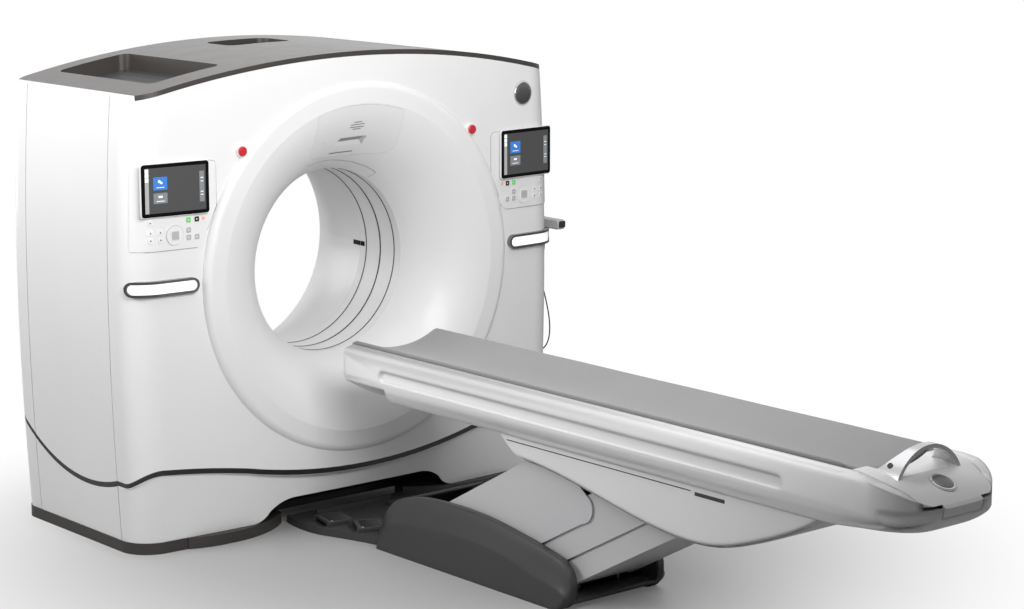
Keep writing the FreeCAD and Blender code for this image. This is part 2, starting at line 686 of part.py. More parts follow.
def lit_handle():
    proud = body(-HANDLE_PROUD).cut(body(-CLEAR))
    rim = proud.common(handle_space(0.0)).cut(handle_space(HANDLE_RIM))
    write_pair("handle_bezel", rim)
    bar = body(-BAR_PROUD).cut(body(-CLEAR)).common(handle_space(HANDLE_RIM + CLEAR))
    write_pair("light_bar", bar)


def reader():
    """Hand-held reader that hangs by its head in a fork on the right side of the gantry."""
    x, y, z = READER_X, READER_Y, READER_Z
    wall = half_width(z)
    base = plate("X", wall - 10, wall + 6, y - 30, y + 50, z - 70, z + 30, 14)
    shelf = slab(wall, x + 32, y - 18, y + 36, z - 34, z - 22 - CLEAR)
    slot = slab(x - 21, x + 40, y - 30, y + 18, z - 40, z - 20)
    slot_end = rod("Z", x, y + 8, 21, z - 40, z - 20)
    write("reader_holder", joined(base, shelf).cut(slot).cut(slot_end).cut(body(-CLEAR)))
    head = plate("X", x - 22, x + 22, y - 130, y + 46, z - 22, z + 22, 16)
    head = head.makeChamfer(5, [e for e in head.Edges if abs(e.BoundBox.XLength) < 0.1])
    grip = Part.makeLoft([ellipse(x, y - 2, z - 18, 16, 17), ellipse(x, y + 8, z - 90, 15, 18),
                          ellipse(x, y + 20, z - 148, 16, 20)], True, False)
    foot = Part.makeLoft([ellipse(x, y + 20, z - 148, 17.5, 21.5), ellipse(x, y + 22, z - 160, 16, 20)],
                         True, True)
    write("hand_reader", joined(head, grip, foot))


def ellipse(x, y, z, a, b):
    """Horizontal ellipse: half width A along X, B along Y."""
    big, small = max(a, b), min(a, b)
    curve = Part.Ellipse(V(x, y, z), big, small)
    wire = Part.Wire([curve.toShape()])
    if b > a:
        wire.rotate(V(x, y, z), V(0, 0, 1), 90)
    return wire


CORD_R = 3.0
CORD_ROUTE = ((1176.0, -193.0, 994.5), (1176.0, -194.0, 935.0), (1180.0, -204.0, 860.0),
              (1188.0, -226.0, 780.0), (1190.0, -246.0, 700.0), (1186.0, -252.0, 630.0),
              (1180.0, -236.0, 578.0), (1174.0, -200.0, 548.0), (1168.0, -158.0, 548.0),
              (1162.0, -124.0, 572.0), (1157.0, -104.0, 612.0), (1152.0, -96.0, 660.0),
              (1148.0, -95.0, 705.0))


def cord_path(points):
    """Straight runs joined by arcs that touch both runs; prints the tightest radius."""
    runs = [V(*p) for p in points]
    edges = []
    here = runs[0]
    tightest = BIG
    for before, corner, after in zip(runs, runs[1:], runs[2:]):
        one = before - corner
        two = after - corner
        turn = math.pi - one.getAngle(two)
        cut = 0.45 * min(one.Length, two.Length)
        radius = cut / math.tan(turn / 2)
        tightest = min(tightest, radius)
        one.normalize()
        two.normalize()
        start = corner + one * cut
        end = corner + two * cut
        inward = one + two
        inward.normalize()
        middle = corner + inward * (math.hypot(radius, cut) - radius)
        edges.append(Part.LineSegment(here, start).toShape())
        edges.append(Part.Arc(start, middle, end).toShape())
        here = end
    edges.append(Part.LineSegment(here, runs[-1]).toShape())
    print("cord: tightest arc %.0f mm" % tightest)
    return Part.Wire(edges)


def reader_cord():
    path = cord_path(CORD_ROUTE)
    first = V(*CORD_ROUTE[1]) - V(*CORD_ROUTE[0])
    section = Part.Wire([Part.Circle(V(*CORD_ROUTE[0]), first, CORD_R).toShape()])
    tube = path.makePipeShell([section], True, False)
    print("cord: length %.0f mm, volume over section %.0f mm" % (
        path.Length, tube.Volume / (math.pi * CORD_R ** 2)))
    write("reader_cord", tube)
    x, y, z = CORD_ROUTE[-1]
    wall = half_width(z)
    boss = slab(wall - 10, x + 9, y - 12, y + 12, z + 3 * CLEAR, z + 26)
    boss = boss.makeFillet(4, [e for e in boss.Edges if e.BoundBox.XLength > 20])
    write("cord_gland", boss.cut(body(-CLEAR)))


# ------------------------------------------------------------------ gantry inside
def gantry_frame():
    beam = slab(BEAM_X - BEAM_W / 2, BEAM_X + BEAM_W / 2, -165, 535, 14, 14 + BEAM_H)
    feet = [rod("Z", BEAM_X, y, 45, 0, 14) for y in ANCHOR_Y]
    cross = [slab(-BEAM_X, BEAM_X, y, y + 90, 24, 14 + BEAM_H) for y in (180, 440)]
    cross.append(slab(-BEAM_X, BEAM_X, -FLOOR_BAR_Y, FLOOR_BAR_Y, 0, 30))
    pads = feet + [mirrored(foot) for foot in feet]
    holes = [rod("Z", side * BEAM_X, y, ANCHOR_R, -1, 200) for side in (1, -1) for y in ANCHOR_Y]
    frame = joined(beam, mirrored(beam), *(pads + cross))
    for hole in holes:
        frame = frame.cut(hole)
    clips = []
    for side in (1, -1):
        reach = side * (half_width(90.0) - WALL - 2 * CLEAR)
        inner = side * (BEAM_X + BEAM_W / 2 - 5)
        for y in (-120, 400):
            clips.append(slab(min(inner, reach), max(inner, reach), y, y + 40, 84, 96))
    write("gantry_base_frame", joined(frame, *clips))

    y0, y1 = STAND_Y
    low = 14 + BEAM_H
    hoop = ring("Y", 0.0, ISO_Z, STAND_R[1], STAND_R[0], y0, y1)
    column = prism("Y", y0, y1, (BEAM_X + 70, low), (BEAM_X - 70, low), (STAND_R[0] + 40, ISO_Z - 260),
                   (STAND_R[0] + 40, ISO_Z + 260), (BEAM_X - 60, ISO_Z + 200), (BEAM_X + 70, ISO_Z - 300))
    brace = slab(BEAM_X - 70, BEAM_X + 70, y0 - 190, y0 + 4, low, low + 30)
    rib = prism("X", BEAM_X - 8, BEAM_X + 8, (y0 - 190, low + 30), (y0 + 2, low + 30), (y0 + 2, low + 420))
    right = joined(column, brace, rib)
    left = mirrored(right)
    stand = joined(hoop, right, left).cut(rod("Y", 0.0, ISO_Z, STAND_R[0], -BIG, BIG))
    brush = slab(-60, 60, HUB_END_Y + 1, 350, ISO_Z - 545, ISO_Z - 478)
    arm = slab(-60, 60, 335, 350, ISO_Z - 700, ISO_Z - 500)
    foot = slab(-60, 60, y1 - 1, 350, ISO_Z - 720, ISO_Z - 640)
    write("gantry_stand", joined(stand, brush, arm, foot))
    write("bearing_outer_race", ring("Y", 0.0, ISO_Z, RACE_R[1], RACE_R[0] + RACE_GAP, *RACE_Y))


def rotor():
    y0, y1 = DRUM_Y
    disc = ring("Y", 0.0, ISO_Z, DRUM_R[1], DRUM_R[0], y0, y1)
    for k in range(12):
        angle = math.radians(30 * k + 15)
        disc = disc.cut(rod("Y", 640 * math.sin(angle), ISO_Z + 640 * math.cos(angle), 42, y0 - 1, y1 + 1))
    hub = ring("Y", 0.0, ISO_Z, RACE_R[0], RACE_R[0] - HUB_WALL, y0, HUB_END_Y)
    write("rotor_drum", joined(disc, hub))
    carrier = ring("Y", 0.0, ISO_Z, RACE_R[0] - HUB_WALL - CLEAR, SLIP_RING_R[0], 250, 296)
    for k in range(5):
        radius = 482 + 12 * k
        carrier = carrier.cut(ring("Y", 0.0, ISO_Z, radius + 4, radius - 4, 292, 297))
    write("slip_ring", carrier)
    face = y0 - CLEAR
    tube = rod("Y", 0.0, ISO_Z + FOCUS_R + 20, 120, -110, 60)
    neck = slab(-150, 150, 40, face, ISO_Z + 490, ISO_Z + 760)
    tube = joined(tube, neck, rod("X", 0.0, ISO_Z + FOCUS_R + 20, 34, -210, 210))
    write("xray_tube", tube)
    jaws = prism("Y", -60, 60, (-90, ISO_Z + 440), (90, ISO_Z + 440), (60, ISO_Z + 489), (-60, ISO_Z + 489))
    jaws = joined(jaws, slab(-90, 90, 50, face, ISO_Z + 444, ISO_Z + 480))
    write("collimator", jaws.cut(slab(-45, 45, -20, 20, ISO_Z, ISO_Z + BIG)))

    focus = ISO_Z + FOCUS_R
    fan = math.radians(DETECTOR_FAN)

    def on_arc(radius, a):
        return (radius * math.sin(a), focus - radius * math.cos(a))

    r0 = DETECTOR_IN_R
    r1 = r0 + DETECTOR_DEEP
    deep = r0 + DETECTOR_SLOT
    arc = prism("Y", -80, face, on_arc(r0, -fan), (on_arc(r0, 0), on_arc(r0, fan)), on_arc(r1, fan),
                (on_arc(r1, 0), on_arc(r1, -fan)))
    slot = prism("Y", -60, 60, on_arc(r0 - 5, -0.9 * fan), (on_arc(r0 - 5, 0), on_arc(r0 - 5, 0.9 * fan)),
                 on_arc(deep, 0.9 * fan), (on_arc(deep, 0), on_arc(deep, -0.9 * fan)))
    write("detector_array", arc.cut(slot))
    tank = plate("Y", -90, face, 480, 770, ISO_Z - 160, ISO_Z + 160, 30)
    write("hv_generator", tank)
    write("tube_cooler", mirrored(plate("Y", -90, face, 480, 770, ISO_Z - 150, ISO_Z + 150, 30)))


# ------------------------------------------------------------------ table top
def table_block(inset):
    """Outer form of the table top: cross section, plan and side view met together."""
    x = SHELL_X - inset
    low = SHELL_LOW_Z + inset
    top = CRADLE_Z - inset
    nose = NOSE_Y + inset
    head = SHELL_HEAD_Y - inset
    section = symmetric((SHELL_LOW_X - inset, low), (x - 16, SHELL_LOW_Z + 22), (x, CHANNEL_Z[0]),
                        (x, CRADLE_Z - 38), ((x - 7, CRADLE_Z - 13), (x - 24, top - 3)), (x - 44, top))
    bar = prism("Y", nose, head, *section)
    r = NOSE_R - inset
    k = r * (1 - math.sqrt(0.5))
    plan = prism("Z", 0, BIG, *symmetric((x, 0.0), (x, nose + r), ((x - k, nose + k), (x - r, nose))))
    view = prism("X", -BIG, BIG, (head, top), (NOSE_Y + 300, top),
                 ((NOSE_Y + 130, top - 29), (nose + 10, CRADLE_Z - 88)), (nose, CRADLE_Z - 98),
                 (nose + 14, low + 55), ((nose + 32, low + 20), (nose + 84, low)), (head - 85, low),
                 ((head - 22, low + 22), (head, low + 66)))
    return bar.common(plan).common(view)


def cap_space(grow):
    """Plan of the cradle's end cap and of the gap that the cradle runs in."""
    x = CRADLE_X + 4 * grow
    plan = symmetric((x, 0.0), (x, NOSE_Y + 190), ((x - 14, NOSE_Y + 130), (x - 33, NOSE_Y + 82)),
                     ((x - 39, NOSE_Y + 48), (x - 63, NOSE_Y + 24)), (x - 63, NOSE_Y - 60))
    return prism("Z", CAP_FLOOR_Z - 12 * grow, BIG, *plan)


def lip_space(grow, end_y=NOSE_Y + 16):
    """The cap's lip drops over the nose in the middle; its way runs on between the rails."""
    tip = CAP_TIP_X + 4 * grow
    return slab(-tip, tip, NOSE_Y - 60, end_y, SHELL_LOW_Z + 66 - 2 * grow, BIG)


def head_wedge(grow):
    """What the lower edge of the table's side loses towards its head end."""
    inner = SHELL_LOW_X - 60 - 3 * grow
    return prism("Y", HEAD_CUT_Y - grow, SHELL_HEAD_Y + 20, (SHELL_X + 5, CHANNEL_Z[0] - 18 + grow),
                 (SHELL_X + 5, 600.0), (inner, 600.0), (inner, SHELL_LOW_Z))


def table_shell():
    block = table_block(0.0)
    hollow = table_block(SHELL_WALL)
    for wedge, room in ((head_wedge(0.0), head_wedge(SHELL_WALL)),
                        (mirrored(head_wedge(0.0)), mirrored(head_wedge(SHELL_WALL)))):
        block = block.cut(wedge)
        hollow = hollow.cut(room)
    side = SHELL_X - SHELL_SIDE_WALL
    hollow = hollow.common(slab(-side, side, -BIG, BIG, 0, BIG))
    roof = slab(-side, side, NOSE_Y, SHELL_HEAD_Y, CAP_FLOOR_Z - 12 - SHELL_WALL, BIG)
    shell = block.cut(hollow.cut(roof.common(slab(-BIG, BIG, -BIG, NOSE_Y + 300, 0, BIG))))
    lips = block.common(slab(SHELL_GAP_X, side + 1, NOSE_Y + 300, SHELL_HEAD_Y, CRADLE_Z - 30, BIG))
    lips = lips.cut(slab(SHELL_GAP_X + 5, side + 2, -BIG, BIG, 0, CRADLE_Z - 8))
    shell = joined(shell, lips, mirrored(lips))
    shell = shell.cut(cap_space(1.0)).cut(lip_space(1.0, NOSE_Y + 400))
    bay = slab(-SHELL_GAP_X, SHELL_GAP_X, SHELL_HEAD_Y - 30, SHELL_HEAD_Y + 10, RAIL_TOP_Z - 40, BIG)
    shell = shell.cut(bay)
    z0, z1 = CHANNEL_Z
    y0, y1 = CHANNEL_Y
    zm = (z0 + z1) / 2
    groove = prism("X", SHELL_X - CHANNEL_DEPTH, SHELL_X + 10, (y0 - 26, z0), ((y0, zm), (y0 - 26, z1)),
                   (y1 + 26, z1), ((y1, zm), (y1 + 26, z0)))
    groove = groove.makeFillet(9.0, [e for e in groove.Edges if e.BoundBox.XMax < SHELL_X - CHANNEL_DEPTH + 0.1])
    shell = shell.cut(groove).cut(mirrored(groove))
    for y, z in (link_end(PIVOT_UP), link_end(PIVOT_LOW)):
        shell = shell.cut(slab(-190, 190, y - 90, y + 90, SHELL_LOW_Z - 5, SHELL_LOW_Z + 8))
    write("table_shell", shell)


def cradle():
    x = CRADLE_X
    low = RAIL_TOP_Z + CLEAR
    section = symmetric((CRADLE_FLAT_X, low), ((x - 27, low + 22), (x - 6, CRADLE_Z - 26)),
                        (x, CRADLE_Z - 14), (x, CRADLE_Z))
    half = len(section) // 2
    tray = prism("Y", CAP_START_Y + CLEAR, CRADLE_HEAD_Y, *section[:half],
                 ((0.0, CRADLE_Z - CRADLE_DIP), section[half]), *section[half + 1:])
    belly = prism("Y", CAP_START_Y + 40, CRADLE_HEAD_Y - 40, (-RAIL_X[0], low - 5), (-RAIL_X[0], low + 8),
                  ((0.0, low + 11), (RAIL_X[0], low + 8)), (RAIL_X[0], low - 5))
    write("cradle", tray.cut(belly))
    half = CRADLE_X - 9
    sag = CRADLE_DIP * (half / CRADLE_X) ** 2
    low = CRADLE_Z - CRADLE_DIP + CLEAR
    pad = prism("Y", PAD_FOOT_Y, PAD_HEAD_Y, (-half, low + sag + PAD_THICK - 6),
                ((0.0, low + PAD_THICK), (half, low + sag + PAD_THICK - 6)), (half, low + sag),
                ((0.0, low), (-half, low + sag)))
    write("cradle_pad", pad)


def end_cap():
    block = table_block(0.0)
    top = block.common(cap_space(0.0)).common(slab(-BIG, BIG, -BIG, CAP_START_Y, 0, BIG))
    lip = block.common(lip_space(0.0))
    cap = joined(top, lip)
    half = CRADLE_X - 60
    trough = prism("Y", CAP_START_Y - 130, CAP_START_Y + 5, (-half, CRADLE_Z + 5),
                   ((0.0, CRADLE_Z - 34), (half, CRADLE_Z + 5)))
    write("cradle_end_cap", cap.cut(trough).cut(grip_form(CLEAR)))


def grip_circle():
    """Radius of the handle's hoop, and the height of its centre."""
    rise = GRIP_RISE + GRIP_SUNK
    radius = (GRIP_X ** 2 + rise ** 2) / (2 * rise)
    return radius, GRIP_FOOT_Z + GRIP_RISE - radius


def grip_form(grow):
    """Arched handle: a hoop across the table, wide at its feet and narrow at the crown."""
    radius, centre_z = grip_circle()
    y0, y1 = GRIP_Y
    foot = GRIP_FOOT_Z - GRIP_SUNK - grow
    crown = GRIP_FOOT_Z + GRIP_RISE + 5
    hoop = ring("Y", 0.0, centre_z, radius + grow, radius - GRIP_THICK - grow, y0 - 5, y1 + 5)
    side = prism("X", -BIG, BIG, (y0 - grow, foot), (y0 - grow, crown), (y0 + 32 + grow, crown),
                 ((y0 + 70 + grow, GRIP_FOOT_Z + 0.5 * GRIP_RISE), (y1 + grow, GRIP_FOOT_Z)),
                 (y1 + grow, foot))
    return hoop.common(side)


def release_rod(radius, deep, proud):
    """A round form square to the hoop at the release button's place, on the left foot."""
    y, z = RELEASE_PLACE
    hoop_r, centre_z = grip_circle()
    rise = (z - centre_z) / hoop_r
    out = V(-math.sqrt(1 - rise ** 2), 0, rise)
    base = V(0, y, centre_z) + out * (hoop_r - deep)
    return Part.makeCylinder(radius, deep + proud, base, out)


def grip():
    hole = release_rod(RELEASE_R + CLEAR, 2 * GRIP_THICK, 2 * GRIP_THICK)
    write("cradle_handle", grip_form(0.0).cut(hole))
    write("release_button", release_rod(RELEASE_R, RELEASE_DEEP, RELEASE_PROUD))


def table_chassis():
    """Steel rails inside the table top, with the lugs that the lift arms hang from."""
    low = SHELL_LOW_Z + SHELL_WALL + CLEAR
    x0, x1 = RAIL_X
    y1, y0 = RAIL_Y
    rail = slab(x0, x1, y0, y1, low, RAIL_TOP_Z).common(table_block(SHELL_WALL + CLEAR))
    rail = rail.cut(slab(x0 + 6, x1 - 6, y0 - 1, y1 + 1, low + 6, RAIL_TOP_Z - 6))
    parts = [rail, mirrored(rail)]
    for y in (-760, -1300, -1960, -2350, -2700, -3240):
        parts.append(slab(-x0 - 2, x0 + 2, y - 30, y + 30, low, low + 40))
    plate_t = BRACKET_T
    for pivot, x in ((PIVOT_UP, LINK_X[1] + 4), (PIVOT_LOW, LOWER_LINK_X[1] + 4)):
        y, z = link_end(pivot)
        lug = prism("X", x, x + plate_t, (y - 50, low + 20), (y - 34, z - 16), ((y, z - 36), (y + 34, z - 16)),
                    (y + 50, low + 20))
        lug = lug.cut(rod("X", y, z, PIVOT_R + PIVOT_FIT, x - 1, x + plate_t + 1))
        parts += [lug, mirrored(lug)]
    chassis = joined(*parts)
    write("table_chassis", chassis)


def belly_form(inset):
    """The hood under the table top, from its nose to the round end of its dome."""
    top = SHELL_LOW_Z - CLEAR + (1.0 if inset else 0.0)
    d = inset
    return prism("X", -BELLY_X + d, BELLY_X - d, (-1580.0 - 3 * d, top),
                 ((-1622.0 - 2 * d, 590.0), (-1735.0, 537.0 + d)),
                 [(-2177.0, 470.0 + d), (-2500.0, 418.0 + d), (-2680.0, 411.0 + d), (-2796.0, 426.0 + d),
                  (-2928.0 + d, 465.0 + d), (-3094.0 + d, 530.0 + d), (-3186.0 + d, 574.0 + d),
                  (-3277.0 + 3 * d, top)])


def belly():
    """Hood under the table top that the arms run into; closed and round at its foot end."""
    top = SHELL_LOW_Z - CLEAR
    hood = belly_form(0.0)
    hood = rounded(hood, BELLY_ROUND, lambda m, e: abs(abs(m.x) - BELLY_X) < 0.1 and m.z < 560 and m.y < -1800)
    hood = hood.cut(belly_form(BELLY_WALL))
    mouth = slab(-BELLY_X + BELLY_ROUND, BELLY_X - BELLY_ROUND, BELLY_MOUTH_Y, -1500, 300, top - 30)
    hood = hood.cut(mouth)
    rim = slab(-BELLY_X, BELLY_X, -3200, -1600, top - BELLY_WALL, top)
    rim = rim.cut(slab(-BELLY_X + 30, BELLY_X - 30, -3120, -1640, 0, BIG)).common(belly_form(0.0))
    hood = joined(hood, rim)
    for pivot, x in ((PIVOT_UP, LINK_X[1] + 4), (PIVOT_LOW, LOWER_LINK_X[1] + 4)):
        y, z = link_end(pivot)
        hood = hood.cut(slab(-x - 20, x + 20, y - 60, y + 60, top - 20, top + 5))
    write("table_belly", hood)


# ------------------------------------------------------------------ lift
def link_end(pivot):
    """Where the pivot at the far end of an arm lies, as (y, z)."""
    a = math.radians(LIFT_TILT)
    return (pivot[0] - LIFT_REACH * math.cos(a), pivot[1] + LIFT_REACH * math.sin(a))


def laid(shape, pivot, tilt=LIFT_TILT):
    """Put a shape drawn along -Y from the origin onto an arm's slope at its base pivot."""
    out = shape.copy()
    out.rotate(V(0, 0, 0), V(1, 0, 0), -tilt)
    out.translate(V(0, pivot[0], pivot[1]))
    return out


def fitted(shape, pivot):
    """Trim what would meet the base plate or the table top's underside at the lowest height."""
    drop = LIFT_REACH * (math.sin(math.radians(LIFT_TILT)) - math.sin(math.radians(LIFT_LOW)))
    low = laid(shape, pivot, LIFT_LOW).cut(slab(-BIG, BIG, -BIG, BIG, -BIG, BASE_PLATE_Z + 8))
    low = low.cut(slab(-BIG, BIG, -BIG, BIG, SHELL_LOW_Z - drop - 8, BIG))
    low.translate(V(0, -pivot[0], -pivot[1]))
    low.rotate(V(0, 0, 0), V(1, 0, 0), LIFT_LOW)
    return low


def channel_cover(half, top, side_outline, plate_range, skin=ARM_SKIN):
    """Two side plates and a plate between them, drawn along -Y: outlines in (y, z)."""
    sides = prism("X", -half, half, *side_outline)
    core = prism("X", -half + skin, half - skin, *side_outline)
    walls = sides.cut(core)
    y0, y1 = plate_range
    deck = slab(-half, half, y0, y1, top[0], top[1])
    return joined(walls, deck)


def lift_arms():
    top, under = ARM_TOP, ARM_UNDER
    upper = channel_cover(ARM_X, (top - ARM_SKIN, top),
                          ((40.0, top - 30), ((28.0, top - 8), (5.0, top)), (-800.0, top), (-930.0, -60.0),
                           (-985.0, -180.0), ((-975.0, -225.0), (-900.0, -under)), (0.0, -under),
                           ((40.0, -under + 80), (40.0, -60.0))), (-800.0, -5.0))
    upper = fitted(upper, PIVOT_UP)
    strut = [slab(x0, x1, y, y + 30, LINK_HALF - 16, LINK_HALF) for y in (-240, -700)
             for x0, x1 in ((LINK_X[1] - 2, ARM_X - ARM_SKIN), (-ARM_X + ARM_SKIN, -LINK_X[1] + 2))]
    write("lift_cover_upper", laid(upper, PIVOT_UP))

    mid_x = ARM_X - ARM_NEST
    mid = channel_cover(mid_x, (MID_DECK, MID_DECK + ARM_SKIN),
                        ((20.0, -MID_UNDER + 10), (12.0, 18.0), (-60.0, MID_HIDDEN), (-860.0, MID_HIDDEN - 30),
                         (-960.0, -MID_UNDER + 20), ((-955.0, -MID_UNDER + 5), (-935.0, -MID_UNDER)),
                         (0.0, -MID_UNDER), ((14.0, -MID_UNDER + 3), (20.0, -MID_UNDER + 10))),
                        (-700.0, -560.0))
    pins = []
    pin_in = mid_x - ARM_SKIN - BRACKET_T - 4
    for s in (1, -1):
        a, b = sorted((s * pin_in, s * (mid_x - 1)))
        pins.append(rod("X", 0.0, 0.0, 10, a, b))
    mid = fitted(joined(mid, *pins), PIVOT_MID)
    write("lift_cover_mid", laid(mid, PIVOT_MID))

    low_x = ARM_X - 2 * ARM_NEST
    low = channel_cover(low_x, (-LOW_UNDER, -LOW_UNDER + ARM_SKIN),
                        ((30.0, -20.0), (20.0, 30.0), (-60.0, LOW_HIDDEN), (-850.0, LOW_HIDDEN - 20),
                         (-960.0, 0.0), ((-955.0, -LOW_UNDER + 10), (-920.0, -LOW_UNDER)), (0.0, -LOW_UNDER),
                         ((22.0, -LOW_UNDER + 10), (30.0, -20.0))), (-920.0, -60.0))
    webs = [slab(s0, s1, y, y + 24, -24, -6) for y in (-300, -620)
            for s0, s1 in ((LOWER_LINK_X[1] + CLEAR, low_x - 2), (-low_x + 2, -LOWER_LINK_X[1] - CLEAR))]
    low = fitted(joined(low, *webs), PIVOT_LOW)
    write("lift_cover_lower", laid(low, PIVOT_LOW))

    write("lift_link_upper", laid(joined(link(LINK_X, LINK_HALF, LINK_X[1] + 4 + BRACKET_T + 1), *strut), PIVOT_UP))
    write("lift_link_lower", laid(link(LOWER_LINK_X, LOWER_LINK_HALF, LOWER_LINK_X[1] + 4 + BRACKET_T + 1),
                                  PIVOT_LOW))


def link(x_range, half, pin_end):
    """Steel arm: two bars, a tie between them and a shaft at each end."""
    x0, x1 = x_range
    reach = LIFT_REACH
    bar = prism("X", x0, x1, (0.0, half), (-reach, half), ((-reach - half, 0.0), (-reach, -half)),
                (0.0, -half), ((half, 0.0), (0.0, half)))
    ties = [slab(-x0 - 1, x0 + 1, y, y + 60, -half + 12, half - 12) for y in (-500, -300)]
    shafts = [rod("X", y, 0.0, PIVOT_R, -pin_end, pin_end) for y in (0.0, -reach)]
    return joined(bar, mirrored(bar), *(ties + shafts))


def table_base():
    """Base plate with the pivot brackets."""
    floor = plate("Z", 0, BASE_PLATE_Z, -CHEEK_IN_X + CLEAR, CHEEK_IN_X - CLEAR, -1900, -870, 30)
    parts = [floor]
    mid_in = ARM_X - ARM_NEST - ARM_SKIN - BRACKET_T - 2
    for pivot, x, r, pin in ((PIVOT_UP, LINK_X[1] + 4, 36, PIVOT_R), (PIVOT_LOW, LOWER_LINK_X[1] + 4, 34, PIVOT_R),
                             (PIVOT_MID, mid_in, 22, 10.0)):
        y, z = pivot
        lug = prism("X", x, x + BRACKET_T, (y - r - 4, BASE_PLATE_Z - 2), (y - r, z),
                    ((y, z + r), (y + r, z)), (y + 2 * r, BASE_PLATE_Z - 2))
        lug = lug.cut(rod("X", y, z, pin + PIVOT_FIT, x - 1, x + BRACKET_T + 1))
        parts += [lug, mirrored(lug)]
    frame = joined(*parts)
    for x in (-TABLE_ANCHOR_X, TABLE_ANCHOR_X):
        for y in TABLE_ANCHOR_Y:
            frame = frame.cut(rod("Z", x, y, TABLE_ANCHOR_R, -1, BASE_PLATE_Z + 1))
    write("table_base_frame", frame)
    y, z = PIVOT_UP
    drive_x = LINK_X[0] - 10
    motor = rod("X", y, z, 52, -drive_x, drive_x - 60)
    motor = motor.cut(rod("X", y, z, PIVOT_R + CLEAR, -BIG, BIG))
    feet = slab(-70, 30, y - 40, y + 40, BASE_PLATE_Z + CLEAR, z - PIVOT_R - 12)
    gearbox = slab(-40, 20, y + 30, y + 190, z - 40, z + 40)
    write("lift_drive", joined(motor, feet, gearbox).cut(rod("X", y, z, PIVOT_R + CLEAR, -BIG, BIG)))


def cheek_steps(inset):
    """Side view of the base cover's cheeks, in (y, z)."""
    d = inset
    top = [(-1925.0 + d, 0.0), (-1990.0 + d, 30.0), (-2012.0 + d, 100.0), (-1988.0 + d, 168.0 - d),
           (-1897.0, 208.0 - d), (-1721.0, 241.0 - d), (-1480.0, 272.0 - d), (-1229.0, 276.0 - d),
           (-1001.0, 248.0 - d), (-903.0 - d, 203.0 - d), (-839.0 - d, 124.0), (-803.0 - d, 0.0)]
    return top[0], top[1:]


def cheek_side():
    """The cheek's outer face, which ends lower: a broad bevel runs up from it to the top."""
    low = [(-1915.0, 0.0), (-1975.0, 28.0), (-1992.0, 62.0), (-1960.0, 84.0), (-1860.0, 101.0),
           (-1692.0, 139.0), (-1479.0, 163.0), (-1229.0, 160.0), (-1001.0, 140.0), (-900.0, 108.0),
           (-850.0, 62.0), (-823.0, 0.0)]
    return low[0], low[1:]


def base_cover():
    shoulder = BASE_X - CHEEK_BEVEL
    cheek = Part.makeLoft([outline("X", CHEEK_IN_X, *cheek_steps(0.0)),
                           outline("X", shoulder, *cheek_steps(0.0)),
                           outline("X", BASE_X, *cheek_side())], True, True)
    void = prism("X", CHEEK_IN_X + CHEEK_WALL, shoulder - CHEEK_WALL, *cheek_steps(CHEEK_WALL))
    void.translate(V(0, 0, -3))
    cheek = cheek.cut(void)
    front = prism("X", -CHEEK_IN_X - 3, CHEEK_IN_X + 3, (-1905.0, 0.0), (-1905.0, 50.0), ((-1960.0, 52.0), (-1998.0, 36.0)),
                  (-1986.0, 24.0), (-1925.0, 0.0))
    front = front.cut(prism("X", -CHEEK_IN_X - 5, CHEEK_IN_X + 5, (-1900.0, -1.0), (-1900.0, 45.0), (-1950.0, 45.0),
                            (-1920.0, -1.0)))
    back = prism("X", -CHEEK_IN_X - 3, CHEEK_IN_X + 3, (-804.0, 0.0), (-840.0, 120.0),
                 ((-880.0, 200.0), (-940.0, 228.0)), (-950.0, 220.0),
                 ((-884.0, 190.0), (-846.0, 118.0)), (-810.0, 0.0))
    write("table_base_cover", joined(cheek, mirrored(cheek), front, back))


def pedal_frame(shape, pedal):
    """Turn a shape drawn round the origin onto a pedal's place on the right-hand side."""
    x, y, turn = pedal
    out = shape.copy()
    out.rotate(V(0, 0, 0), V(0, 0, 1), turn)
    out.translate(V(x, y, TRAY_Z))
    return out


def tray_plan(low, high, inset):
    """Right half of the tray: widest beside the front pedals, narrow where it meets the base."""
    d = inset
    return prism("Z", low, high, (0.0, -246.0 - d), (306.0 - d, -246.0 - d),
                 ((328.0 - d, -373.0), (319.0 - d, -504.0)), ((268.0 - d, -647.0), (231.0 - d, -778.0)),
                 (231.0 - d, -885.0 + d), (0.0, -885.0 + d))


